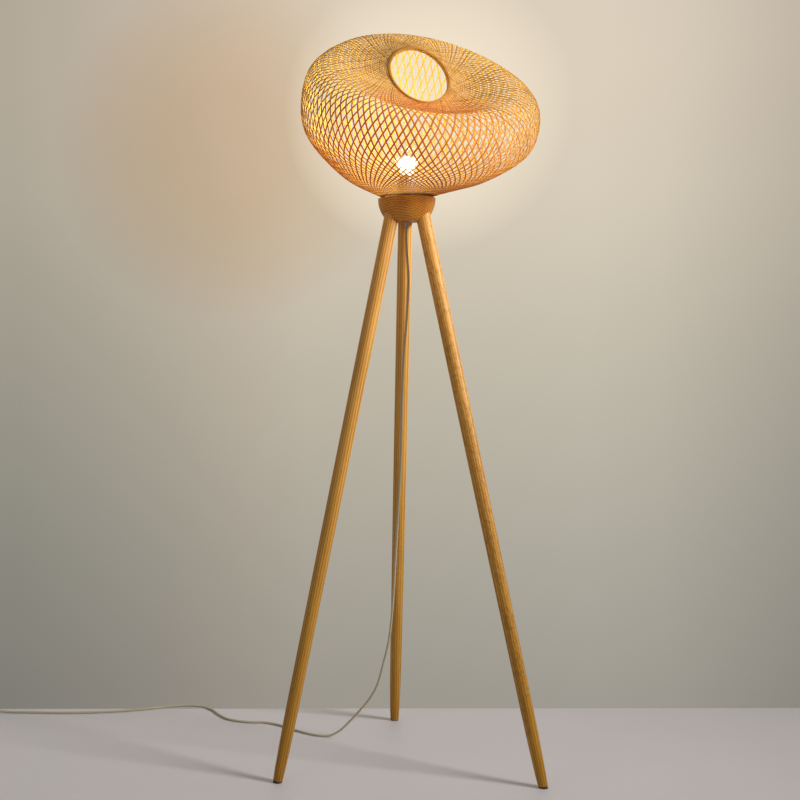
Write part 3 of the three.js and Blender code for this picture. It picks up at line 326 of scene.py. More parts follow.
@dataclass(frozen=True)
class WoodFinish(Finish):
    """Oiled ash: growth rings cut along or across, with fine dark pores.

    Attributes:
        light: The colour of the early wood.
        dark: The colour of the late wood, where the pores lie.
        rotation: Euler angles of the grain's own frame, whose Z runs along the grain.
        centre: A point on the tree's heart.
        rings: Growth rings to a metre.
        contrast: How much the rings show.
        wander: How far the rings stray, in metres.
        bends: How many bends they make to a metre.
        ripple: How unsteady each ring's line is.
        roughness: The roughness of the oiled surface.
        flame: Euler angles of the slanting flecks, or None for no flecks.
        flame_side: The side that the flecks lie on, as a direction in the grain's frame.
        painted_shade_foot_tone: Painted shade, what the wood's colour is multiplied by at the floor, or None
            for an even piece.
        painted_light_head_tone: Painted light, what it is multiplied by at the height that follows.
        painted_light_height: The height of that painted light, in metres.
        stretch: How much slower the rings change along the grain than across it.
        pores: How many pores to a metre, along each axis of the grain's frame.
        streaks: The same for the fine streaks.
        blotches: The same for the broad changes of tone.
        flecks: The same for the flecks.
    """

    # A wave texture's scale for one ring to a metre, and how late in its year the wood darkens.
    WAVES_TO_SCALE = math.pi / 10.0
    RING_CURVE = 1.6
    # Where in its noise each kind of mark starts, and how sharp its edge is.
    PORE_EDGE = (0.55, 8.0)
    FLECK_EDGE = (0.5, 8.0)
    BLOTCH_EDGE = (0.4, 1.6)
    # How far each kind covers the wood, and how much of the late wood's colour it has.
    PORE_COVER = (0.45, 0.35)
    FLECK_COVER = (0.4, 0.6)
    BLOTCH_COVER = (0.3, 0.8)
    # How many pores there are in early and in late wood, and how much rings show in pale and dark blotches.
    PORE_RANGE = (0.3, 1.0)
    BLOTCH_RANGE = (0.2, 1.8)
    STREAK_SHARE = 0.7
    # How sharply the flecks end at the edges of their side, and how far they reach past it.
    SIDE_EDGE = 90.0
    SIDE_REACH = 0.2
    # For the two ways that a ring strays: the share of the bends across the grain, and the bends along it.
    BENDS = ((1.0, 3.2), (1.2, 2.4))
    # The places of the early and the late wood's colours.
    GROUND_STOPS = (0.05, 0.9)
    UNEVEN_GLOSS = 0.14
    # How deep the pores and the late wood lie, and the strength and the size of that relief.
    PORE_DEPTH = 0.8
    RING_DEPTH = 0.15
    RELIEF = (0.3, 0.0003)

    light: Colour
    dark: Colour
    rotation: Triple
    centre: Triple
    rings: float
    contrast: float
    wander: float
    bends: float = 22.0
    ripple: float = 0.6
    roughness: float = 0.4
    flame: Triple | None = None
    flame_side: Triple = (0.0, 0.0, 0.0)
    painted_shade_foot_tone: Colour | None = None
    painted_light_head_tone: Colour = (1.0, 1.0, 1.0)
    painted_light_height: float = 1.1
    stretch: float = 0.05
    pores: Triple = (1500.0, 1500.0, 34.0)
    streaks: Triple = (420.0, 420.0, 5.0)
    blotches: Triple = (30.0, 30.0, 4.0)
    flecks: Triple = (210.0, 210.0, 95.0)

    def _noise(self, g: Graph, scale: Triple, detail: float = 2.0) -> Socket:
        """Noise in the grain's own frame, with its scale along each axis."""
        return g.noise(g.turned(self.rotation, scale, self.centre), 1.0, detail)

    def _slanting_flecks(self, g: Graph) -> Socket:
        """Short slanting flecks on one side, as where a plank is cut across its rings.

        Args:
            g: The material's graph.

        Returns:
            How dark the flecks are.
        """
        fleck = g.noise(g.turned(self.flame, self.flecks, self.centre), 1.0, 1.5)
        own_place = g.turned(self.rotation, (1.0, 1.0, 1.0), self.centre)
        across = g.vector("DOT_PRODUCT", own_place, self.flame_side, "Value")
        return fleck.rising(*self.FLECK_EDGE) * (across * self.SIDE_EDGE + self.SIDE_REACH).clamped()

    def _growth_rings(self, g: Graph) -> Socket:
        """Wandering growth rings, each of which darkens outwards.

        Args:
            g: The material's graph.

        Returns:
            How late in its year the wood has grown.
        """
        grown = g.turned(self.rotation, (1.0, 1.0, self.stretch), self.centre)
        scales = ((share * self.bends, share * self.bends, along) for share, along in self.BENDS)
        aside, ahead = ((self._noise(g, scale) - 0.5) * self.wander for scale in scales)
        pushed = g.vector("ADD", grown, g.node("ShaderNodeCombineXYZ", None, {0: aside, 1: ahead}))
        settings = {"wave_type": "RINGS", "rings_direction": "Z", "wave_profile": "SAW"}
        values = {"Vector": pushed, "Scale": self.rings * self.WAVES_TO_SCALE, "Distortion": self.ripple,
                  "Detail": 1.0, "Detail Scale": 2.0}
        return g.node("ShaderNodeTexWave", settings, values, "Fac") ** self.RING_CURVE

    def surface(self, g: Graph) -> dict:
        """Adds the wood's nodes.

        Args:
            g: The material's graph.

        Returns:
            What the shader's sockets take.
        """
        ring = self._growth_rings(g)
        pore = self._noise(g, self.pores, 1.0).rising(*self.PORE_EDGE) * ring.between(*self.PORE_RANGE)
        streak = self._noise(g, self.streaks)
        blotch = self._noise(g, self.blotches)
        banded = ring * self.contrast * blotch.between(*self.BLOTCH_RANGE)
        grain = (banded + (streak - 0.5) * self.STREAK_SHARE + (1.0 - self.contrast) / 2).clamped()
        ground = g.ramp(grain, tuple(zip(self.GROUND_STOPS, (self.light, self.dark))))
        colour = g.marked(ground, pore, self.PORE_COVER, self.dark)
        if self.flame is not None:
            colour = g.marked(colour, self._slanting_flecks(g), self.FLECK_COVER, self.dark)
        colour = g.marked(colour, blotch.rising(*self.BLOTCH_EDGE), self.BLOTCH_COVER, self.dark)
        # Painted light and shade: the wood is lighter towards the hub and darker at the floor, for how the
        # light falls on the legs.
        if self.painted_shade_foot_tone is not None:
            share = (g.axis(g.place(), 2) * (1.0 / self.painted_light_height)).clamped()
            colour = g.mix(1.0, colour, g.mix(share, self.painted_shade_foot_tone, self.painted_light_head_tone), "MULTIPLY")
        return {"Base_Color": colour, "Roughness": self.roughness + streak * self.UNEVEN_GLOSS,
                "Specular_IOR_Level": 0.28, "Coat_Weight": 0.1, "Coat_Roughness": 0.3,
                "Normal": g.bump(1.0 - pore * self.PORE_DEPTH - ring * self.RING_DEPTH, *self.RELIEF)}


@dataclass(frozen=True)
class CaneFinish(Finish):
    """Split cane or bamboo strips: honey skin outside, straw inside, and a red glow near the bulb.

    Attributes:
        skin: The colour of the outer skin.
        deep: The colour of the darker strips.
        straw: The colour of the split inner face.
        lit: The colour of the light that comes through the strips near the bulb.
        shade: The colour of a strip's face with the light behind it.
        centre: The middle of the strips that stand dark against the light.
        bulb: Where the bulb glows.
        neck: Height of the hub's top, where the strips are painted dark as a shadow.
        glare: The place on the net in front of the bulb, where its light drowns the strips.
        reach: How far round their middle the strips stand dark.
        glow: Strength of the light in the strips.
        through: The colour of the light that comes through far from the bulb.
        basket: The colour of the light on the inner faces just above the neck.
        heat: How far the bulb's light comes through along each axis.
        glare_reach: How far the glare spreads.
        rim: The colour of the strips' narrow edges, partly their own darker cut edges and partly painted
            shade where strips lie close.
        neck_shadow: The colour of the painted shadow on the strips' ends at the neck.
        neck_shadow_height: How far above the hub's top that painted shadow starts to fade.
        dazzle: The colour of the glare.
        fibres: How many fibres to a metre, along each axis.
        blotches: How many changes of tone to a metre.
    """

    # How much of a strip's tone is its own, and where in the tones the deep colour and the skin's lie.
    OWN_TONE = 0.6
    SKIN_STOPS = (0.2, 0.75)
    # How far fibres, the rims' darker edges with their painted shade, the painted shade of faces with the
    # light behind, the painted neck shadow and the rims' painted shadow on the glow cover what they lie on.
    FIBRE_COVER = 0.3
    RIM_COVER = 0.75
    BACKLIT_COVER = 0.95
    NECK_SHADOW_COVER = 0.9
    RIM_SHADOW = 0.4
    FIBRE_EDGE = (0.5, 2.4)
    NECK_SHADOW_EDGE = 400.0
    # Starts and slopes of what fades: with the distance from its middle, and with the height over the neck.
    BACKLIT_FADE = (3.4, 3.4)
    HEAT_FADE = (3.0, 2.0)
    FAR_FADE = (1.2, 4.0)
    BASKET_FADE = (1.15, 14.0)
    DAZZLE_START = 2.2
    # How bright the light is in the deepest and in the palest strips: far from the bulb, near it and inside.
    FAR_RANGE = (0.7, 1.3)
    NEAR_RANGE = (0.55, 1.45)
    BASKET_RANGE = (0.6, 1.1)
    # How bright the far and the near light are at the neck, and how fast they rise to their full strength.
    FAR_RISE = (0.25, 30.0)
    NEAR_RISE = (0.4, 18.0)
    GLOSS_RANGE = (0.46, 0.66)
    RELIEF = (0.3, 0.0002)

    skin: Colour
    deep: Colour
    straw: Colour
    lit: Colour
    shade: Colour
    centre: Triple
    bulb: Triple
    neck: float
    glare: Triple
    reach: float
    glow: float
    through: Colour = (0.72, 0.26, 0.012)
    basket: Colour = (2.4, 1.5, 0.5)
    heat: Triple = (0.2, 0.25, 0.1)
    glare_reach: float = 0.01
    rim: Colour = (0.13, 0.048, 0.008)
    neck_shadow: Colour = (0.09, 0.03, 0.008)
    neck_shadow_height: float = 0.0038
    dazzle: Colour = (5.0, 4.2, 2.6)
    fibres: Triple = (1300.0, 1300.0, 420.0)
    blotches: float = 30.0

    def surface(self, g: Graph) -> dict:
        """Adds the cane's nodes.

        Args:
            g: The material's graph.

        Returns:
            What the shader's sockets take.
        """
        place = g.place()
        height = g.axis(place, 2) - self.neck
        strip, inner, edge = (g.node("ShaderNodeAttribute", {"attribute_name": name}, None, "Fac")
                              for name in ("strip_tone", "strip_inner", "strip_edge"))
        rim = edge * (1.0 - inner)
        fibre = g.noise(g.turned(NO_TURN, self.fibres), 1.0, 2.0)
        mixed = (strip * self.OWN_TONE + g.noise(place, self.blotches, 2.0) * (1.0 - self.OWN_TONE)).clamped()
        away = g.turned(NO_TURN, (1.0 / self.reach, 1.0 / self.reach, 2.0 / self.reach), self.centre)
        backlit = g.vector("LENGTH", away, output="Value").falling(*self.BACKLIT_FADE) * (1.0 - inner)
        # Painted shadow: the strips' ends darken just above the hub's top, where the net meets the hub.
        neck_shadowed = (height - self.neck_shadow_height).falling(1.0, self.NECK_SHADOW_EDGE) * self.NECK_SHADOW_COVER
        # The colour of the strip: its skin, fibres and edges, with painted shade where the light is behind it
        # and a painted shadow at the neck.
        ground = g.ramp(mixed, tuple(zip(self.SKIN_STOPS, (self.deep, self.skin))))
        fibred = g.mix(fibre.rising(*self.FIBRE_EDGE) * self.FIBRE_COVER, ground, self.deep)
        # Darker edges: partly the cane's own cut edges, partly painted shade between strips that lie close.
        edged = g.mix(rim * self.RIM_COVER, fibred, self.rim)
        outer = g.mix(backlit * self.BACKLIT_COVER, edged, self.shade)
        colour = g.mix(neck_shadowed, g.mix(inner, outer, self.straw), self.neck_shadow)
        # The light in it: faint and yellow far from the bulb, red near it, and bright inside by the neck.
        far_rise, near_rise = ((height * slope).clamped().between(low, 1.0)
                               for low, slope in (self.FAR_RISE, self.NEAR_RISE))
        far = height.falling(*self.FAR_FADE) * mixed.between(*self.FAR_RANGE) * far_rise
        weak = g.mix(far, BLACK, self.through)
        near = g.turned(NO_TURN, tuple(1.0 / reach for reach in self.heat), self.bulb)
        hot = g.vector("LENGTH", near, output="Value").falling(*self.HEAT_FADE) * near_rise
        glowing = g.mix((hot * mixed.between(*self.NEAR_RANGE)).clamped(), weak, self.lit)
        inside = height.falling(*self.BASKET_FADE) * mixed.between(*self.BASKET_RANGE)
        bright = g.mix(inside, BLACK, self.basket)
        # The painted neck shadow and the rims' painted shade dim that light.
        unshadowed = (1.0 - neck_shadowed) * (1.0 - rim * self.RIM_SHADOW)
        light = g.mix(unshadowed, BLACK, g.mix(inner, glowing, bright))
        ahead = g.vector("DISTANCE", place, self.glare, "Value")
        dazzled = ahead.falling(self.DAZZLE_START, 1.0 / self.glare_reach)
        return {"Base_Color": colour, "Roughness": fibre.between(*self.GLOSS_RANGE),
                "Specular_IOR_Level": 0.1, "Normal": g.bump(fibre, *self.RELIEF),
                "Emission_Strength": self.glow,
                "Emission_Color": g.mix(dazzled * dazzled, light, self.dazzle)}


@dataclass(frozen=True)
class PlasticFinish(Finish):
    """Moulded plastic or rubber with a fine spark-eroded surface.

    Attributes:
        colour: Its colour.
        roughness: Its roughness.
        texture: Texture bumps to a metre.
        sheen: Weight of its clear skin.
        depth: How strong the texture is.
        blotches: How many changes of tone to a metre.
    """

    WEAR_EDGE = (0.45, 1.6)
    WEAR_COVER = (0.3, 0.78)
    UNEVEN_GLOSS = 0.12
    RELIEF_SIZE = 0.0001

    colour: Colour
    roughness: float = 0.4
    texture: float = 2600.0
    sheen: float = 0.0
    depth: float = 0.12
    blotches: float = 46.0

    def surface(self, g: Graph) -> dict:
        """Adds the plastic's nodes.

        Args:
            g: The material's graph.

        Returns:
            What the shader's sockets take.
        """
        fine = g.noise(g.place(), self.texture, 2.0)
        wear = g.noise(g.place(), self.blotches, 3.0)
        colour = g.marked(self.colour, wear.rising(*self.WEAR_EDGE), self.WEAR_COVER, self.colour)
        return {"Base_Color": colour, "Roughness": self.roughness + wear * self.UNEVEN_GLOSS,
                "Coat_Weight": self.sheen, "Normal": g.bump(fine, self.depth, self.RELIEF_SIZE)}


@dataclass(frozen=True)
class MetalFinish(Finish):
    """Plated or turned metal with faint brushing.

    Attributes:
        colour: Its colour.
        roughness: Its roughness.
        brushing: How many brush marks to a metre, along each axis.
        smudges: How many smudges to a metre.
    """

    SMUDGE_EDGE = (0.5, 1.4)
    SMUDGE_COVER = (0.35, 0.7)
    UNEVEN_GLOSS = 0.18
    RELIEF = (0.08, 0.0001)

    colour: Colour
    roughness: float
    brushing: Triple = (120.0, 120.0, 2400.0)
    smudges: float = 90.0

    def surface(self, g: Graph) -> dict:
        """Adds the metal's nodes.

        Args:
            g: The material's graph.

        Returns:
            What the shader's sockets take.
        """
        brushed = g.noise(g.turned(NO_TURN, self.brushing), 1.0, 2.0)
        smudge = g.noise(g.place(), self.smudges, 2.0)
        colour = g.marked(self.colour, smudge.rising(*self.SMUDGE_EDGE), self.SMUDGE_COVER, self.colour)
        return {"Base_Color": colour, "Metallic": 1.0,
                "Roughness": self.roughness + brushed * self.UNEVEN_GLOSS,
                "Normal": g.bump(brushed, *self.RELIEF)}


@dataclass(frozen=True)
class GlassFinish(Finish):
    """Thin clear glass that glares near the filaments.

    Attributes:
        tint: Its tint.
        glare: Colour of the light in it.
        strength: Strength of that light.
        centre: Where the filaments are.
        reach: How far the glare spreads.
        haze: How much of the glass shows where nothing glares.
        glared: How much of it shows where it glares.
        waviness: How many changes of gloss to a metre.
    """

    GLARE_START = 4.0
    GLOSS_RANGE = (0.04, 0.07)

    tint: Colour
    glare: Colour
    strength: float
    centre: Triple
    reach: float = 0.029
    haze: float = 0.1
    glared: float = 0.95
    waviness: float = 30.0

    def surface(self, g: Graph) -> dict:
        """Adds the glass's nodes.

        Args:
            g: The material's graph.

        Returns:
            What the shader's sockets take.
        """
        far = g.vector("DISTANCE", g.place(), self.centre, "Value")
        near = far.falling(self.GLARE_START, self.GLARE_START / self.reach)
        faint = g.noise(g.place(), self.waviness, 1.0)
        return {"Base_Color": self.tint, "Roughness": faint.between(*self.GLOSS_RANGE),
                "Alpha": near.between(self.haze, self.glared),
                "Emission_Color": g.mix(near, BLACK, self.glare), "Emission_Strength": self.strength,
                "IOR": 1.45}


@dataclass(frozen=True)
class GlowFinish(Finish):
    """A glowing filament.

    Attributes:
        colour: Its colour.
        strength: How bright it is.
    """

    colour: Colour
    strength: float

    def surface(self, g: Graph) -> dict:
        """The glow's constants, which need no nodes."""
        return {"Base_Color": self.colour, "Roughness": 0.5, "Emission_Color": self.colour,
                "Emission_Strength": self.strength}


class Shading(Enum):
    """How a piece's faces are shaded."""

    SMOOTH = "smooth"
    SHARP_EDGES = "sharp edges"


def make_piece(name: str, points: np.ndarray, faces: list, material: bpy.types.Material,
               shading: Shading = Shading.SHARP_EDGES) -> bpy.types.Object:
    """Makes a mesh piece that rides on the lamp.

    Args:
        name: The piece's name.
        points: Its corners.
        faces: Its faces, as corner numbers.
        material: Its material.
        shading: How its faces are shaded.

    Returns:
        The piece.
    """
    mesh = bpy.data.meshes.new(name)
    mesh.from_pydata([tuple(point) for point in points], [], faces)
    mesh.validate()
    mesh.update()
    mesh.materials.append(material)
    mesh.shade_smooth()
    if shading is Shading.SHARP_EDGES:
        mesh.set_sharp_from_angle(angle=SHARP_ANGLE)
    piece = bpy.data.objects.new(name, mesh)
    bpy.context.scene.collection.objects.link(piece)
    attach(piece, LAMP)
    LOG.info("%s: %d faces", name, len(faces))
    return piece


def tube_faces(rows: int, sides: int, closed: bool = False) -> list:
    """Faces of a tube through rows of points.

    Args:
        rows: How many rows.
        sides: Points in each row.
        closed: Whether the last row joins the first.

    Returns:
        The faces, with both ends capped unless the tube is closed.
    """
    faces = []
    for row in range(rows if closed else rows - 1):
        here, there = row * sides, ((row + 1) % rows) * sides
        for side in range(sides):
            after = (side + 1) % sides
            faces.append((here + side, here + after, there + after, there + side))
    if not closed:
        faces.append(tuple(reversed(range(sides))))
        faces.append(tuple(range((rows - 1) * sides, rows * sides)))
    return faces


def spun(pair: tuple[float, float], side: int, sides: int, matrix: Matrix) -> tuple:
    """A profile's point on one side of a turned body.

    Args:
        pair: Its radius and height.
        side: The side.
        sides: How many sides there are.
        matrix: Where the body's own frame lies.

    Returns:
        The point.
    """
    radius, height = pair
    angle = 2.0 * math.pi * side / sides
    return tuple(matrix @ Vector((radius * math.cos(angle), radius * math.sin(angle), height)))


def turned_body(profile: list, sides: int, matrix: Matrix) -> tuple[np.ndarray, list]:
    """Points and faces of a turned body, from a profile of radii and heights."""
    points = [spun(pair, side, sides, matrix) for pair in profile for side in range(sides)]
    return np.array(points), tube_faces(len(profile), sides)


def turned_ring(profile: list, sides: int, matrix: Matrix) -> tuple[np.ndarray, list]:
    """Points and faces of a turned ring, from a closed profile of radii and heights."""
    points = [spun(pair, side, sides, matrix) for side in range(sides) for pair in profile]
    return np.array(points), tube_faces(sides, len(profile), closed=True)


def rounded(profile: list, rounding: float, steps: int = 3) -> list:
    """Rounds the corners of an open profile.

    Args:
        profile: Pairs of radius and height.
        rounding: How far from a corner the rounding starts.
        steps: How many pieces a corner takes.

    Returns:
        The rounded profile, with its ends kept.
    """
    result = [profile[0]]
    for before, here, after in zip(profile, profile[1:], profile[2:]):
        corner = Vector(here)
        ways = [Vector(before) - corner, Vector(after) - corner]
        reach = min(rounding, *(way.length * 0.48 for way in ways))
        first, last = (corner + way.normalized() * reach for way in ways)
        for step in range(steps + 1):
            share = step / steps
            point = first * (1 - share) ** 2 + corner * 2 * share * (1 - share) + last * share ** 2
            result.append(tuple(point))
    return [*result, profile[-1]]


def smooth_route(points: list, spacing: float, steps: int = 16) -> list:
    """Evenly spaced points on a smooth curve through points, slower round close ones.

    Args:
        points: The points that it passes through.
        spacing: The distance between the points returned.
        steps: How many pieces the curve is measured in between two points.

    Returns:
        The points as vectors.
    """
    knots = [Vector(point) for point in points]
    ends = [2 * knots[0] - knots[1], *knots, 2 * knots[-1] - knots[-2]]
    dense = []
    for a, b, c, d in zip(ends, ends[1:], ends[2:], ends[3:]):
        t1 = max((b - a).length ** 0.5, 1e-6)
        t2 = t1 + max((c - b).length ** 0.5, 1e-6)
        t3 = t2 + max((d - c).length ** 0.5, 1e-6)
        for step in range(steps):
            t = t1 + (t2 - t1) * step / steps
            ab = a * (t1 - t) / t1 + b * t / t1
            bc = b * (t2 - t) / (t2 - t1) + c * (t - t1) / (t2 - t1)
            cd = c * (t3 - t) / (t3 - t2) + d * (t - t2) / (t3 - t2)
            abc = ab * (t2 - t) / t2 + bc * t / t2
            bcd = bc * (t3 - t) / (t3 - t1) + cd * (t - t1) / (t3 - t1)
            dense.append(abc * (t2 - t) / (t2 - t1) + bcd * (t - t1) / (t2 - t1))
    dense.append(knots[-1])
    run = np.concatenate([[0.0], np.cumsum([(b - a).length for a, b in zip(dense, dense[1:])])])
    count = max(int(round(run[-1] / spacing)), 2)
    wanted = np.linspace(0.0, run[-1], count + 1)
    table = np.array([tuple(point) for point in dense])
    return [Vector([float(np.interp(at, run, table[:, axis])) for axis in range(3)]) for at in wanted]


def path_length(path: list) -> float:
    """The length of a path of points."""
    return sum((after - here).length for here, after in zip(path, path[1:]))


def tube_points(path: list, radius: float, sides: int) -> np.ndarray:
    """Rows of points round a path, turned as little as the path allows.

    Args:
        path: The path's points.
        radius: The tube's radius.
        sides: How many sides.

    Returns:
        The points, row by row.
    """
    rows = []
    ahead = (path[1] - path[0]).normalized()
    across = ahead.orthogonal().normalized()
    for index, point in enumerate(path):
        before, after = path[max(index - 1, 0)], path[min(index + 1, len(path) - 1)]
        turn = ahead.rotation_difference((after - before).normalized())
        ahead = (after - before).normalized()
        across = (turn @ across).normalized()
        up = ahead.cross(across)
        for side in range(sides):
            angle = 2.0 * math.pi * side / sides
            rows.append(point + radius * (math.cos(angle) * across + math.sin(angle) * up))
    return np.array([tuple(row) for row in rows])


def corners(node: str) -> tuple[Vector, Vector]:
    """The low and the high corner of a node's box."""
    low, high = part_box(node)
    return Vector(low), Vector(high)


def hub_axis() -> Vector:
    """The point on the floor under the hub's axis."""
    low, high = corners("hub")
    return Vector(((low.x + high.x) / 2, (low.y + high.y) / 2, 0.0))


@dataclass
class Studio:
    """The camera, a plain floor and soft light.

    Attributes:
        axis: The point on the floor under the hub.
        bulb: Where the bulb glows.
        eye: The camera's place from the axis.
        turn: Its Euler angles.
        lens: Its focal length in millimetres.
        sensor: The width of its sensor in millimetres.
        shift: Its sideways shift.
        clip_end: How far it sees.
        floor_size: The floor's width.
        floor_depth: How far behind the lamp's axis the floor ends.
        floor_tones: The two colours that mottle the floor.
        floor_blotches: How many changes between them to a metre.
        floor_roughness: The floor's roughness.
        wall_tones: The surroundings' colours from below to above, by height as nought to one.
        side_tones: What they are multiplied by from the left to the right.
        side_start: Where the side tones start, as the leftward part of a direction.
        side_span: How much of the directions they cover.
        lamp_direction: The direction of a painted pool of the lamp's light on the wall, the brightest place,
            behind the shade.
        lamp_edge: The cosine where that place starts, and how much of it the change takes.
        lamp_light_pool_tone: The colour of that painted light.
        painted_shadow_direction: The direction of a painted shadow of the shade on the wall, warmed by the
            shade's light.
        painted_shadow_edge: The same two values for that place.
        painted_shadow_tone: What the surroundings are multiplied by in that painted shadow.
        room_tone: The colour of the room behind the camera.
        room_fade: The start and the slope of its change into the wall ahead.
        studio_colour: The colour of the studio's lights.
        bulb_colour: The colour of the bulb's light.
        bulb_power: Its power in watts.
        bulb_radius: Its radius.
    """

    axis: Vector
    bulb: Vector
    eye: Triple = (-0.2018, -2.7268, 0.8702)
    turn: Triple = (math.pi / 2 - 0.04346, 0.00115, 0.06422)
    lens: float = 59.317
    sensor: float = 36.0
    shift: float = 0.2217
    clip_end: float = 60.0
    floor_size: float = 12.0
    floor_depth: float = 0.394
    floor_tones: tuple = ((0.595, 0.595, 0.655), (0.635, 0.635, 0.695))
    floor_blotches: float = 3.0
    floor_roughness: float = 0.55
    wall_tones: tuple = (
        (0.0, (0.26, 0.25, 0.23)), (0.372, (0.347, 0.328, 0.287)), (0.422, (0.418, 0.397, 0.337)),
        (0.49, (0.54, 0.50, 0.41)), (0.557, (0.686, 0.61, 0.49)), (0.6, (0.723, 0.631, 0.509)),
        (1.0, (0.56, 0.53, 0.47)),
    )
    side_tones: tuple = (
        (0.04, (0.62, 0.63, 0.63)), (0.13, (0.69, 0.69, 0.69)), (0.23, (0.79, 0.77, 0.76)),
        (0.33, (0.91, 0.87, 0.85)), (0.4, (0.97, 0.95, 0.93)), (0.74, (1.0, 1.0, 1.0)),
        (0.82, (0.95, 0.95, 0.95)), (0.97, (0.73, 0.73, 0.74)),
    )
    side_start: float = -0.24
    side_span: float = 0.6
    lamp_direction: Triple = (0.087, 0.9816, 0.17)
    lamp_edge: tuple = (0.9945, 0.0045)
    lamp_light_pool_tone: Colour = (0.88, 0.765, 0.60)
    painted_shadow_direction: Triple = (-0.06, 0.988, 0.145)
    painted_shadow_edge: tuple = (0.992, 0.0075)
    painted_shadow_tone: Colour = (0.93, 0.83, 0.72)
    room_tone: Colour = (0.17, 0.165, 0.155)
    room_fade: tuple = (0.6, 1.5)
    studio_colour: Colour = (1.0, 0.94, 0.85)
    bulb_colour: Colour = (1.0, 0.85, 0.4)
    bulb_power: float = 3.2
    bulb_radius: float = 0.012

    def make_camera(self) -> None:
        """Makes the camera and sets it."""
        data = bpy.data.cameras.new("camera")
        data.lens = self.lens
        data.sensor_width = self.sensor
        data.shift_x = self.shift
        data.clip_end = self.clip_end
        camera = bpy.data.objects.new("camera", data)
        camera.location = self.axis + Vector(self.eye)
        camera.rotation_euler = self.turn
        bpy.context.scene.collection.objects.link(camera)
        bpy.context.scene.camera = camera

    def make_floor(self) -> None:
        """Makes the floor, which ends in a straight edge behind the lamp."""
        half = self.floor_size / 2
        turn = Matrix.Translation(self.axis) @ Matrix.Rotation(self.turn[2], 4, "Z")
        ends = [(-half, -half), (half, -half), (half, self.floor_depth), (-half, self.floor_depth)]
        mesh = bpy.data.meshes.new("floor")
        mesh.from_pydata([tuple(turn @ Vector((x, y, 0.0))) for x, y in ends], [], [(0, 1, 2, 3)])
        graph = Graph("floor")
        colour = graph.mix(graph.noise(graph.place(), self.floor_blotches, 4.0), *self.floor_tones)
        mesh.materials.append(graph.feed(Base_Color=colour, Roughness=self.floor_roughness))
        floor = bpy.data.objects.new("floor", mesh)
        bpy.context.scene.collection.objects.link(floor)

    def _make_sky(self) -> None:
        """Makes the pale surroundings, brighter above, with a painted pool of the lamp's light behind the
        shade and a painted shadow of the shade beside it.
        """
        sky = SkyGraph("surroundings")
        way = sky.node("ShaderNodeTexCoord", output="Generated")
        side, depth, height = (sky.axis(way, index) for index in range(3))
        wall = sky.ramp(height * 0.5 + 0.5, self.wall_tones)
        from_left = side.rising(self.side_start, 1.0 / self.side_span)
        shaded = sky.mix(1.0, wall, sky.ramp(from_left, self.side_tones), "MULTIPLY")
        # Painted light and shadow on the wall: a pool of the lamp's light behind the shade, and a darker,
        # warmer shadow of the shade at its left.
        in_lamp_light_pool, beside = (sky.vector("DOT_PRODUCT", way, middle, "Value").rising(start, 1.0 / change)
                          for middle, (start, change) in ((self.lamp_direction, self.lamp_edge),
                                                          (self.painted_shadow_direction, self.painted_shadow_edge)))
        shadowed_wall = sky.mix(beside, shaded, self.painted_shadow_tone, "MULTIPLY")
        room = sky.mix(depth.falling(*self.room_fade), shadowed_wall, self.room_tone)
        sky.feed(Color=sky.mix(in_lamp_light_pool, room, self.lamp_light_pool_tone), Strength=1.0)
        bpy.context.scene.world = sky.world

    def _area(self, name: str, place: Triple, aim: Triple, size: float, power: float, spread: float) -> None:
        """Makes a soft square light.

        Args:
            name: Its name.
            place: Where it is, from the hub's axis.
            aim: Where it points, from there too.
            size: Its side.
            power: Its power in watts.
            spread: How wide its beam is, in degrees.
        """
        data = bpy.data.lights.new(name, "AREA")
        data.size = size
        data.energy = power
        data.color = self.studio_colour
        data.spread = math.radians(spread)
        light = bpy.data.objects.new(name, data)
        light.location = self.axis + Vector(place)
        light.rotation_euler = (Vector(aim) - Vector(place)).to_track_quat("-Z", "Y").to_euler()
        bpy.context.scene.collection.objects.link(light)

    def make_lights(self) -> None:
        """Makes the studio's light and the bulb's."""
        self._make_sky()
        bpy.context.scene.view_settings.view_transform = "Standard"
        self._area("key", (3.0, -1.4, 2.4), (0.0, 0.0, 1.25), size=1.0, power=26.0, spread=70.0)
        self._area("fill", (-2.6, -2.4, 1.8), (0.0, 0.0, 0.7), size=2.4, power=14.0, spread=180.0)
        data = bpy.data.lights.new("bulb_light", "POINT")
        data.energy = self.bulb_power
        data.color = self.bulb_colour
        data.shadow_soft_size = self.bulb_radius
        light = bpy.data.objects.new("bulb_light", data)
        light.location = self.bulb
        bpy.context.scene.collection.objects.link(light)


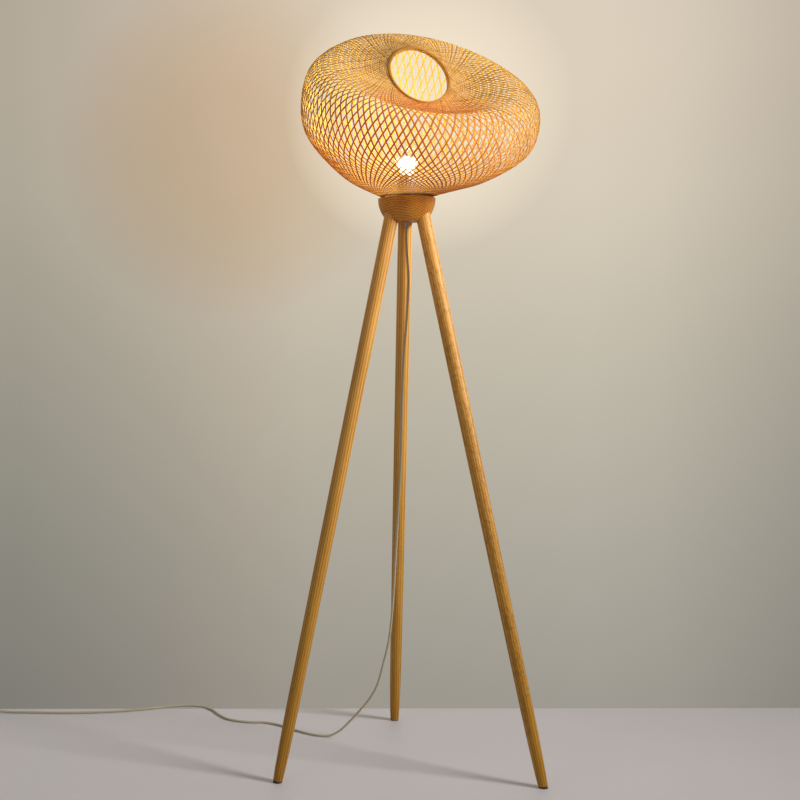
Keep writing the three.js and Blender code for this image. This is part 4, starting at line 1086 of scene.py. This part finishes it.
@dataclass
class CordSet:
    """The cord: one length from the gland to the foot switch, and one from there to the plug.

    Attributes:
        axis: The point on the floor under the hub.
        radius: The cord's radius.
        sides: How many sides its round has.
        gap: What is left free between its ends and the pieces that they enter.
        spacing: The distance between its rows of points.
        entry_height: The height at which it enters the switch.
        entry_length: How far it runs straight before that.
        run: The route from the gland to the switch, from the axis.
        turns: The coil's turns.
        layers: The layers that they lie in.
        pitch: The distance from turn to turn, sideways and upwards.
        mean_radius: The radius of the coil's middle turn.
        climb: The share of a turn in which it climbs to the upper layer.
        coil_bottom: The height of the cord's middle in the lower layer.
        coil_lead: How far behind the switch the coil starts.
        steps: Points in each turn.
        tail: The route from the coil's end to the plug: steps aside from that end, and heights.
        tail_spacing: The distance between the tail's rows of points.
    """

    axis: Vector
    radius: float = 0.0025
    sides: int = 12
    gap: float = 0.0003
    spacing: float = 0.006
    entry_height: float = 0.0046
    entry_length: float = 0.02
    run: tuple = (
        (-0.001, 0, 1.0855), (0.001, 0, 1.0512), (0.004, 0, 1.0059), (0.003, 0, 0.9584), (-0.0005, 0, 0.8965),
        (-0.004, 0, 0.8556), (-0.008, 0, 0.7528), (-0.009, 0.003, 0.6489), (-0.012, 0.016, 0.5439),
        (-0.015, 0.034, 0.4587), (-0.02, 0.06, 0.3261), (-0.027, 0.083, 0.2355), (-0.038, 0.101, 0.178),
        (-0.05, 0.119, 0.1271), (-0.065, 0.13, 0.0951), (-0.086, 0.137, 0.0663), (-0.108, 0.144, 0.0398),
        (-0.129, 0.149, 0.0177), (-0.151, 0.154, 0.005), (-0.18, 0.161, 0.0028), (-0.226, 0.195, 0.0028),
        (-0.266, 0.235, 0.0028), (-0.298, 0.252, 0.0028), (-0.334, 0.253, 0.0028), (-0.379, 0.27, 0.0028),
        (-0.404, 0.304, 0.0028), (-0.424, 0.346, 0.0028), (-0.45, 0.373, 0.0028), (-0.488, 0.381, 0.0028),
        (-0.531, 0.37, 0.0028), (-0.591, 0.343, 0.0028), (-0.671, 0.317, 0.0028), (-0.771, 0.303, 0.0028),
        (-0.86, 0.302, 0.0028), (-0.905, 0.302, 0.0028),
    )
    turns: int = 4
    layers: int = 2
    pitch: float = 0.0058
    mean_radius: float = 0.029
    climb: float = 0.5
    coil_bottom: float = 0.0038
    coil_lead: float = 0.029
    steps: int = 36
    tail: tuple = (
        (-0.022, 0.0, 0.009), (-0.042, -0.006, 0.005), (-0.06, -0.022, 0.003), (-0.066, -0.046, 0.0036),
    )
    tail_spacing: float = 0.005

    def _coil(self, start: Vector) -> list:
        """The coil's centreline: in on the floor, up a layer at the smallest turn, and out again.

        Args:
            start: Where it begins.

        Returns:
            Its points.
        """
        per_layer = self.turns / self.layers
        outer = self.mean_radius + per_layer / 2 * self.pitch
        centre = start - Vector((0.0, outer, 0.0))
        points = []
        for step in range(self.turns * self.steps + 1):
            turn = step / self.steps
            radius = outer - self.pitch * min(turn, self.turns - turn, per_layer)
            risen = min(max((turn - per_layer) / self.climb + 0.5, 0.0), 1.0)
            lift = risen * risen * (3.0 - 2.0 * risen) * self.pitch
            angle = math.pi / 2 + 2.0 * math.pi * turn
            points.append(centre + Vector((radius * math.cos(angle), radius * math.sin(angle), lift)))
        return points

    def _make(self, name: str, path: list, sheath: bpy.types.Material, replaced: tuple) -> None:
        """Makes a length of cord and hides the nodes that it replaces.

        Args:
            name: The piece's name.
            path: Its centreline.
            sheath: Its material.
            replaced: The nodes that it replaces.
        """
        points, faces = tube_points(path, self.radius, self.sides), tube_faces(len(path), self.sides)
        piece = make_piece(name, points, faces, sheath)
        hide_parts(*replaced)
        path_length(path)

    def build(self) -> None:
        """Makes the two lengths of cord."""
        sheath = PlasticFinish("cord_sheath", (0.45, 0.40, 0.28), roughness=0.26, texture=900.0,
                               sheen=0.6).build()
        switch_low, switch_high = corners("switch_base")
        middle_y = (switch_low.y + switch_high.y) / 2
        start = Vector((self.axis.x, self.axis.y, corners("cord_gland")[0].z - self.gap))
        end = Vector((switch_high.x + self.gap, middle_y, self.entry_height))
        route = [start, *(self.axis + Vector(point) for point in self.run),
                 end + Vector((self.entry_length, 0.0, 0.0)), end]
        self._make("mains_cord", smooth_route(route, self.spacing), sheath, ("cord_run",))
        plug_low, plug_high = corners("plug_body")
        start = Vector((switch_low.x - self.gap, middle_y, self.entry_height))
        end = Vector(((plug_low.x + plug_high.x) / 2, plug_high.y + self.gap, (plug_low.z + plug_high.z) / 2))
        coil_start = Vector((switch_low.x - self.coil_lead, middle_y, self.coil_bottom))
        coil = self._coil(coil_start)
        beside = Vector((2 * self.radius, 0.0, 0.0))
        lead = smooth_route([start, coil_start + beside], self.spacing)
        out = coil[-1] - beside
        tail = smooth_route([out, *(Vector((out.x + x, out.y + y, z)) for x, y, z in self.tail),
                             end + Vector((0.0, 2 * self.radius, 0.0)), end], self.tail_spacing)
        self._make("spare_cord", [*lead, *coil, *tail], sheath, ("cord_link", "cord_coil", "cord_tail"))


@dataclass
class Tripod:
    """Three turned legs in a ball hub.

    Attributes:
        axis: The point on the floor under the hub.
        legs: Each leg's side, its direction in degrees, and a share that lightens or darkens its wood, as
            painted light and shade for how much light that leg gets.
        foot_circle: Radius of the circle that the legs' axes cross on the floor.
        meet_radius: How far the axes still are from the hub's, at the next height.
        meet_height: That height.
        leg_start: Where a leg starts above its foot, along its axis.
        leg_length: Its length.
        tip_radius: Its radius at the foot.
        top_radius: Its radius at the hub.
        tip_edge: The bevel round its lower end.
        end_radius: The radius of the small face at each end, which closes it.
        swell: Shares of the length, and the share of its growth that the radius has there.
        leg_rows: Rows of points along a leg.
        row_power: The power that crowds them towards its foot.
        leg_sides: A leg's sides.
        leg_light: The colour of the legs' early wood.
        leg_dark: The colour of their late wood.
        leg_heart: The middle of their growth rings, from where the leg's axis meets the floor.
        fleck_slant: How far the flecks lean across the grain, in radians.
        painted_shade_foot_tone: Painted shade, what the legs' colour is multiplied by at the floor.
        painted_light_head_tone: Painted light, what it is multiplied by under the hub.
        hub_radius: The radius of the ball.
        hub_top: The height of its flat top.
        hub_centre: The height of the ball's middle.
        hub_bottom: The height of its flat underside.
        hub_bore: The radius of the cord's bore.
        hub_steps: Pieces of the ball's outline.
        hub_sides: The hub's sides.
        under_edge: How far in from its rim the underside's rounding starts.
        under_rounding: How far from the lower rim that rounding reaches.
        top_rounding: The same for the upper rim.
        seat_radius: The radius of the seat for the shade's carrier.
        seat_depth: The seat's depth.
        recess_radius: The radius of the recess in the seat.
        recess_depth: The recess's depth.
        hub_heart: The middle of the hub's growth rings, from the axis at the ball's height.
        hub_turn: Euler angles of its grain.
    """

    axis: Vector
    legs: tuple = (("right", 330.0, 1.04), ("back", 90.0, 1.1), ("left", 210.0, 0.97))
    foot_circle: float = 0.3
    meet_radius: float = 0.0206
    meet_height: float = 1.1954
    leg_start: float = 0.003
    leg_length: float = 1.16892
    tip_radius: float = 0.0093
    top_radius: float = 0.0146
    tip_edge: float = 0.0008
    end_radius: float = 0.0005
    swell: tuple = ((0, 0.022, 0.075, 0.13, 0.26, 0.45, 0.7, 1), (0, 0.26, 0.52, 0.62, 0.7, 0.83, 0.94, 1))
    leg_rows: int = 40
    row_power: float = 1.3
    leg_sides: int = 48
    leg_light: Colour = (0.72, 0.36, 0.045)
    leg_dark: Colour = (0.36, 0.135, 0.010)
    leg_heart: Triple = (-0.021, -0.007, 0.0)
    fleck_slant: float = -0.45
    painted_shade_foot_tone: Colour = (0.62, 0.62, 0.3)
    painted_light_head_tone: Colour = (1.25, 1.36, 2.6)
    hub_radius: float = 0.058
    hub_top: float = 1.164
    hub_centre: float = 1.162
    hub_bottom: float = 1.117
    hub_bore: float = 0.006
    hub_steps: int = 32
    hub_sides: int = 96
    under_edge: float = 0.004
    under_rounding: float = 0.0015
    top_rounding: float = 0.0008
    seat_radius: float = 0.0538
    seat_depth: float = 0.0035
    recess_radius: float = 0.013
    recess_depth: float = 0.014
    hub_heart: Triple = (-0.045, 0.0, -0.2)
    hub_turn: Triple = (1.45, 0.0, 0.08)

    def leg_matrix(self, heading: float) -> Matrix:
        """A leg's own frame, with Z up its axis from the floor.

        Args:
            heading: The leg's direction in degrees.

        Returns:
            The frame.
        """
        lean = math.atan2(self.foot_circle - self.meet_radius, self.meet_height)
        place = Matrix.Translation(Vector((self.foot_circle, 0.0, 0.0))) @ Matrix.Rotation(-lean, 4, "Y")
        return Matrix.Translation(self.axis) @ Matrix.Rotation(math.radians(heading), 4, "Z") @ place

    def _leg(self, side: str, heading: float, tone: float) -> None:
        """Makes one leg.

        Args:
            side: Its name.
            heading: Its direction in degrees.
            tone: A share that lightens or darkens its wood, as painted light and shade for how much light the
                leg gets.
        """
        matrix = self.leg_matrix(heading)
        turn = matrix.to_3x3()
        shares = np.linspace(0.0, 1.0, self.leg_rows) ** self.row_power
        growth = np.interp(shares, *self.swell) * (self.top_radius - self.tip_radius)
        outline = [(self.tip_radius + float(grown), self.leg_start + float(share) * self.leg_length)
                   for share, grown in zip(shares, growth)]
        (tip, bottom), (_, top) = outline[0], outline[-1]
        profile = [(self.end_radius, bottom), (tip - self.tip_edge, bottom), (tip, bottom + self.tip_edge),
                   *outline[1:], (self.end_radius, top)]
        slanting = Matrix.Rotation(self.fleck_slant, 3, "Y") @ turn
        # The leg's tone makes lit and shaded copies of one ash: painted light and shade.
        finish = WoodFinish(
            f"ash_leg_{side}", toned(self.leg_light, tone), toned(self.leg_dark, tone),
            rotation=tuple(matrix.to_euler()), centre=tuple(matrix.translation + Vector(self.leg_heart)),
            rings=210.0, contrast=0.75, wander=0.004,
            flame=tuple(slanting.to_euler()), flame_side=tuple(turn.inverted() @ Vector((-1.0, 0.0, 0.0))),
            painted_shade_foot_tone=self.painted_shade_foot_tone, painted_light_head_tone=self.painted_light_head_tone)
        points, faces = turned_body(profile, self.leg_sides, matrix)
        piece = make_piece(f"turned_leg_{side}", points, faces, finish.build())
        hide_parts(f"leg_{side}")

    def _hub(self) -> None:
        """Makes the hub."""
        low, high = (math.asin((height - self.hub_centre) / self.hub_radius)
                     for height in (self.hub_bottom, self.hub_top))
        arc = [(self.hub_radius * math.cos(angle), self.hub_centre + self.hub_radius * math.sin(angle))
               for angle in np.linspace(low, high, self.hub_steps + 1)]
        seat = self.hub_top - self.seat_depth
        under = rounded([(arc[0][0] - self.under_edge, self.hub_bottom), *arc[:2]], self.under_rounding)
        rim = rounded([arc[-2], arc[-1], (self.seat_radius, self.hub_top)], self.top_rounding)
        floor = seat - self.recess_depth
        outline = [(self.hub_bore, self.hub_bottom), *under[:-1], *arc[1:-1], *rim[1:],
                   (self.seat_radius, seat), (self.recess_radius, seat), (self.recess_radius, floor),
                   (self.hub_bore, floor)]
        heart = self.axis + Vector((0.0, 0.0, self.hub_centre)) + Vector(self.hub_heart)
        finish = WoodFinish("ash_hub", (0.86, 0.36, 0.042), (0.33, 0.10, 0.006), self.hub_turn, tuple(heart),
                            rings=235.0, contrast=0.66, wander=0.016, bends=9.0, ripple=2.2, roughness=0.36)
        points, faces = turned_ring(outline, self.hub_sides, Matrix.Translation(self.axis))
        piece = make_piece("ball_hub", points, faces, finish.build())
        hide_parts("hub")

    def build(self) -> None:
        """Makes the legs and the hub."""
        for side, heading, tone in self.legs:
            self._leg(side, heading, tone)
        self._hub()


class Winding(Enum):
    """The way that a family of strips winds round the shade."""

    RIGHT = 1
    LEFT = -1


@dataclass
class Shade:
    """The bulbous net of cane strips, with the hoops of its mouth.

    Attributes:
        axis: The point on the floor under the hub.
        bulb: Where the bulb glows.
        hub_top: Height of the hub's top, from which the shade's heights are measured.
        radius: The shade's radius, which scales its rings.
        neck_radius: Radius of the ring at the neck.
        neck_height: Its height over the hub's top.
        mouth_radius: Radius of the mouth's ring.
        mouth_tilt: How far the mouth leans from facing up.
        mouth_heading: How far to the side of the front it leans.
        rings: Middle rings: side, front, up and radius as shares of the radius, then tilt and heading
            as shares of the mouth's.
        mouth_place: Side, front and up of the mouth's ring, as shares of the radius.
        strips: Strips in each of the two families.
        strip_width: A strip's width.
        strip_thickness: Its thickness.
        section: Its section: half widths across, and thicknesses outwards, with the skin's edges eased.
        neck_slim: Distances from the neck along the net, and how wide the strips are there.
        mouth_slim: The same from the mouth.
        weave_depth: How far a strip rises and sinks where it crosses others.
        crowded: The spacing of the crossings where the strips start to weave, and the change to a full weave.
        stack: How far strips that lie close are laid over each other.
        lie: How far a family that lies close is off the middle surface, as a share of a strip's thickness.
        stray: How far a strip may start from its even place, as an angle.
        width_spread: The narrowest and the widest strip, as shares of the width.
        slope: How much a strip turns as it climbs, at the shade's full radius.
        least_slope: The least slope that the spacing of the crossings is worked out with.
        power: How fast that grows where the net is narrower.
        stations: Rows of points along a strip.
        climb_weight: How much a strip's climb counts against its turning, when the rows are spread.
        seed: The seed of the strips' small differences.
        glare_way: The direction from the bulb to where its light comes straight through.
        dark_place: The middle of the strips that stand dark against the light, from the bulb.
        hoop_half: Half a hoop's width, in stations, and half its thickness.
        hoop_offset: How far in or out of the net's surface a hoop lies.
        hoop_sides: A hoop's sides.
        hoop_around: Points round its section.
        squareness: The power that squares the section.
        hoop_tones: The hoops' middle tone, how far it strays, and how often round a hoop.
    """

    TABLE_SIZE = 961
    DIRECTIONS = 12
    GLARE_GRID = (160, 240)

    axis: Vector
    bulb: Vector
    hub_top: float = 1.164
    radius: float = 0.24
    neck_radius: float = 0.048
    neck_height: float = 0.0025
    mouth_radius: float = 0.063
    mouth_tilt: float = math.radians(66.5)
    mouth_heading: float = math.radians(24.0)
    rings: tuple = (
        (0.044, 0.022, 0.166, 0.6, 0.165, 0.65),
        (0.075, 0.027, 0.5, 0.947, 0.322, 0.62),
        (0.108, 0.131, 0.859, 0.982, 0.439, 0.6),
        (0.099, 0.185, 1.023, 0.79, 0.524, 0.62),
        (0.088, 0.122, 1.008, 0.454, 0.756, 0.78),
    )
    mouth_place: Triple = (0.088, 0.144, 1.006)
    strips: int = 100
    strip_width: float = 0.0031
    strip_thickness: float = 0.0007
    section: tuple = ((-1.0, -0.5), (1.0, -0.5), (1.0, 0.2), (0.45, 0.5), (-0.45, 0.5), (-1.0, 0.2))
    neck_slim: tuple = ((0.0, 0.03, 0.06, 0.11), (0.25, 0.31, 0.54, 1.0))
    mouth_slim: tuple = ((0.0, 0.05), (0.7, 0.95))
    weave_depth: float = 0.0005
    crowded: tuple = (0.003, 0.006)
    stack: float = 0.0002
    lie: float = 0.55
    stray: float = 0.004
    width_spread: tuple = (0.88, 1.1)
    slope: float = 0.4
    least_slope: float = 0.1
    power: float = 0.5
    stations: int = 72
    climb_weight: float = 1.2
    seed: int = 7
    glare_way: Triple = (-0.2, -2.73, -0.38)
    dark_place: Triple = (-0.15, -0.02, -0.015)
    hoop_half: tuple = (0.05, 0.001)
    hoop_offset: float = 0.0028
    hoop_sides: int = 96
    hoop_around: int = 10
    squareness: float = 0.6
    hoop_tones: tuple = (0.35, 0.3, 3)

    def __post_init__(self) -> None:
        """Works out the key rings and the winding."""
        tilt, heading = self.mouth_tilt, self.mouth_heading
        keys = [(0.0, 0.0, self.neck_height, self.neck_radius, 0.0, heading * self.rings[0][5])]
        for side, front, up, swell, tilt_share, heading_share in self.rings:
            keys.append((side * self.radius, -front * self.radius, up * self.radius, swell * self.radius,
                         tilt_share * tilt, heading_share * heading))
        side, front, up = (share * self.radius for share in self.mouth_place)
        keys.append((side, -front, up, self.mouth_radius, tilt, heading))
        self.keys = np.array(keys)
        self.last = len(keys) - 1
        self._wind()

    def ring_at(self, station: np.ndarray) -> np.ndarray:
        """Smoothly blended rings at stations from nought, the neck, to the last, the mouth.

        Args:
            station: The stations.

        Returns:
            One row for each station: place, radius, tilt and heading.
        """
        index = np.clip(np.floor(station).astype(int), 0, self.last - 1)
        t = (station - index)[:, None]
        padded = np.vstack([2 * self.keys[0] - self.keys[1], self.keys, 2 * self.keys[-1] - self.keys[-2]])
        a, b, c, d = (padded[index + step] for step in range(4))
        return b + ((c - a) * t + (2 * a - 5 * b + 4 * c - d) * t ** 2 + (3 * b - a - 3 * c + d) * t ** 3) / 2

    def point(self, station: np.ndarray, angle: np.ndarray) -> np.ndarray:
        """Points of the shade's middle surface.

        Args:
            station: Their stations.
            angle: Their angles round the rings.

        Returns:
            The points in the lamp's frame.
        """
        x, y, z, radius, tilt, heading = self.ring_at(station).T
        side, front = np.sin(heading), -np.cos(heading)
        down = np.stack([side * np.cos(tilt), front * np.cos(tilt), -np.sin(tilt)], 1)
        normal = np.stack([side * np.sin(tilt), front * np.sin(tilt), np.cos(tilt)], 1)
        across = np.cross(normal, down)
        centre = np.stack([x + self.axis.x, y + self.axis.y, z + self.hub_top], 1)
        return centre + radius[:, None] * (np.cos(angle)[:, None] * down + np.sin(angle)[:, None] * across)

    def normal(self, station: np.ndarray, angle: np.ndarray) -> np.ndarray:
        """Outward directions at points of the middle surface.

        Args:
            station: Their stations.
            angle: Their angles round the rings.

        Returns:
            Unit vectors.
        """
        step = 1e-3
        along = self.point(station + step, angle) - self.point(station - step, angle)
        around = self.point(station, angle + step) - self.point(station, angle - step)
        cross = np.cross(around, along)
        return cross / np.linalg.norm(cross, axis=1)[:, None]

    def raised(self, station: np.ndarray, angle: np.ndarray, height: np.ndarray) -> np.ndarray:
        """Points at heights over the middle surface, at stations and angles."""
        return self.point(station, angle) + self.normal(station, angle) * height[:, None]

    def _wind(self) -> None:
        """Works out how far a strip has turned, and how steeply it lies, at each station."""
        table = np.linspace(0.0, self.last, self.TABLE_SIZE)
        rise = np.zeros(len(table) - 1)
        for index in range(self.DIRECTIONS):
            angle = np.full(len(table), 2 * math.pi * index / self.DIRECTIONS)
            rise += np.linalg.norm(np.diff(self.point(table, angle), axis=0), axis=1) / self.DIRECTIONS
        radius = self.ring_at((table[1:] + table[:-1]) / 2)[:, 3]
        slope = self.slope * (self.radius / radius) ** self.power
        self.table = table
        self.turn = np.concatenate([[0.0], np.cumsum(slope * rise / radius)])
        self.rise = np.concatenate([[0.0], np.cumsum(rise)])
        self.slopes = np.concatenate([slope[:1], slope])

    @staticmethod
    def _mark(piece: bpy.types.Object, **values: np.ndarray) -> None:
        """Writes numbers on a piece's corners for its material.

        Args:
            piece: The piece.
            **values: One number for each corner, under the name that the material reads.
        """
        for name, numbers in values.items():
            attribute = piece.data.attributes.new(name, "FLOAT", "POINT")
            attribute.data.foreach_set("value", numbers.astype(np.float32))

    def _weave(self, name: str, winding: Winding, material: bpy.types.Material, nodes: tuple) -> None:
        """Makes one family of strips.

        Args:
            name: The piece's name.
            winding: The way that the strips wind.
            material: Their material.
            nodes: The nodes that they replace.
        """
        way = winding.value
        chance = random.Random(self.seed + way)
        effort = self.turn / self.turn[-1] + self.climb_weight * self.rise / self.rise[-1]
        stations = np.interp(np.linspace(0.0, effort[-1], self.stations), effort, self.table)
        turn, slope, rise = (np.interp(stations, self.table, column)
                             for column in (self.turn, self.slopes, self.rise))
        radius = self.ring_at(stations)[:, 3]
        spacing = 2 * math.pi * radius / self.strips / np.maximum(slope, self.least_slope)
        free = np.clip((spacing - self.crowded[0]) / self.crowded[1], 0.0, 1.0)
        wave = way * self.weave_depth * np.cos(self.strips * turn) * free
        flat = way * self.strip_thickness * self.lie * (1.0 - free)
        slim = np.interp(rise, *self.neck_slim) * np.interp(self.rise[-1] - rise, *self.mouth_slim)
        single = tube_faces(len(stations), len(self.section))
        size = len(stations) * len(self.section)
        points, tones = [], []
        for index in range(self.strips):
            first = 2 * math.pi * index / self.strips + chance.uniform(-self.stray, self.stray)
            width = self.strip_width * chance.uniform(*self.width_spread) * slim
            half = width / 2 * np.sqrt(1 + slope ** 2) / radius
            angle = first + way * turn
            lift = wave + flat + (index % 3 - 1) * self.stack * (1.0 - free)
            rows = [self.raised(stations, angle + across * half, lift + depth * self.strip_thickness)
                    for across, depth in self.section]
            points.append(np.stack(rows, 1).reshape(-1, 3))
            tones.append(np.full(size, chance.random()))
        faces = [tuple(corner + size * index for corner in face) for index in range(self.strips)
                 for face in single]
        piece = make_piece(name, np.vstack(points), faces, material)
        inner = [float(depth < 0.0) for _, depth in self.section]
        edge = [float(abs(across) == 1.0) for across, _ in self.section]
        rows = len(stations) * self.strips
        self._mark(piece, strip_tone=np.concatenate(tones), strip_inner=np.tile(inner, rows),
                   strip_edge=np.tile(edge, rows))
        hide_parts(*nodes)

    def _hoop(self, name: str, offset: float, node: str, material: bpy.types.Material) -> None:
        """Makes a bent hoop that follows the net's surface round the mouth.

        Args:
            name: The piece's name.
            offset: How far outside the middle surface it lies.
            node: The node that it replaces.
            material: Its material.
        """
        angles = np.linspace(0.0, 2 * math.pi, self.hoop_sides, endpoint=False)
        rows = []
        for step in range(self.hoop_around):
            turn = 2 * math.pi * step / self.hoop_around
            reach, lift = (math.copysign(abs(part) ** self.squareness, part) * half
                           for part, half in zip((math.cos(turn), math.sin(turn)), self.hoop_half))
            at = np.full(self.hoop_sides, self.last - self.hoop_half[0] + reach)
            rows.append(self.raised(at, angles, np.full(self.hoop_sides, offset + lift)))
        points = np.stack(rows, 1).reshape(-1, 3)
        piece = make_piece(name, points, tube_faces(self.hoop_sides, self.hoop_around, closed=True), material,
                           Shading.SMOOTH)
        middle, spread, times = self.hoop_tones
        tones = middle + spread * np.sin(np.repeat(angles, self.hoop_around) * times)
        self._mark(piece, strip_tone=tones, strip_inner=np.zeros(len(tones)), strip_edge=np.zeros(len(tones)))
        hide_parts(node)

    def _in_front_of_bulb(self) -> tuple:
        """Looks for the place on the net where the bulb's light comes straight to the front.

        Returns:
            The place.
        """
        rows, columns = (np.linspace(0.0, end, count)
                         for end, count in zip((self.last, 2 * math.pi), self.GLARE_GRID))
        stations, angles = np.meshgrid(rows, columns)
        points = self.point(stations.ravel(), angles.ravel())
        ways = points - np.array(self.bulb)
        straight = ways @ np.array(Vector(self.glare_way).normalized()) / np.linalg.norm(ways, axis=1)
        return tuple(float(value) for value in points[np.argmax(straight)])

    def build(self) -> None:
        """Makes the net and its hoops."""
        cane = CaneFinish(
            "cane_strips", skin=(0.80, 0.47, 0.15), deep=(0.44, 0.20, 0.04), straw=(0.95, 0.66, 0.10),
            lit=(1.15, 0.10, 0.002), shade=(0.085, 0.013, 0.0015),
            centre=tuple(self.bulb + Vector(self.dark_place)), bulb=tuple(self.bulb), neck=self.hub_top,
            glare=self._in_front_of_bulb(), reach=0.35, glow=0.32)
        strips = cane.build()
        self._weave("cane_strips_right", Winding.RIGHT, strips, ("net_outer_1", "net_outer_2", "net_outer_3"))
        self._weave("cane_strips_left", Winding.LEFT, strips, ("net_inner_1", "net_inner_2", "net_inner_3"))
        bound = replace(cane, name="cane_hoops", skin=(0.56, 0.29, 0.08), deep=(0.36, 0.16, 0.03), reach=0.3,
                        glow=0.1).build()
        self._hoop("mouth_binding_outer", self.hoop_offset, "mouth_hoop_outer", bound)
        self._hoop("mouth_binding_inner", -self.hoop_offset, "mouth_hoop_inner", bound)


@dataclass
class Fittings:
    """Finishes of the solids that stay: feet, gland, holder, bulb, plates, screws, switch and plug.

    Attributes:
        bulb: Where the bulb glows.
    """

    bulb: Vector

    def finishes(self) -> dict[str, Finish]:
        """States the finish of each slot that still shows.

        Returns:
            The finishes by slot.
        """
        return {
            "foot_rubber": PlasticFinish("foot_rubber", (0.035, 0.028, 0.024), roughness=0.7, texture=1800.0,
                                         depth=0.3),
            "steel": MetalFinish("zinc_steel", (0.62, 0.63, 0.64), roughness=0.32),
            "brass": MetalFinish("brass", (0.74, 0.54, 0.25), roughness=0.28),
            "white_plastic": PlasticFinish("white_plastic", (0.78, 0.75, 0.69), roughness=0.36, sheen=0.1),
            "black_plastic": PlasticFinish("black_plastic", (0.022, 0.021, 0.02), sheen=0.1),
            "bulb_glass": GlassFinish("bulb_glass", tint=(0.05, 0.047, 0.04), glare=(1.0, 0.88, 0.62),
                                      strength=3.0, centre=tuple(self.bulb)),
            "filament": GlowFinish("filament", (1.0, 0.82, 0.5), strength=120.0),
            "cord_sheath": PlasticFinish("gland_grey", (0.52, 0.45, 0.37), texture=900.0, sheen=0.1),
            "cane_dark": PlasticFinish("plain_dark_cane", (0.36, 0.19, 0.08)),
        }

    def build(self) -> None:
        """Dresses each solid that isn't replaced, by its slot."""
        made = {slot: finish.build() for slot, finish in self.finishes().items()}
        for row in frame["record"]["subparts"]:
            node = frame["nodes"][row["node"]]
            if node.hide_render:
                continue
            for place in node.material_slots:
                place.material = made[row["material_slot"]]
            LOG.info("%s: dressed as %s", row["node"], row["material_slot"])


def main() -> None:
    """Builds the scene."""
    logging.basicConfig(level=logging.INFO, format="%(message)s")
    axis = hub_axis()
    low, high = corners("bulb_filaments")
    bulb = (low + high) / 2
    studio = Studio(axis, bulb)
    studio.make_camera()
    CordSet(axis).build()
    Tripod(axis).build()
    Shade(axis, bulb).build()
    Fittings(bulb).build()
    studio.make_floor()
    studio.make_lights()


if __name__ == "__main__":
    main()
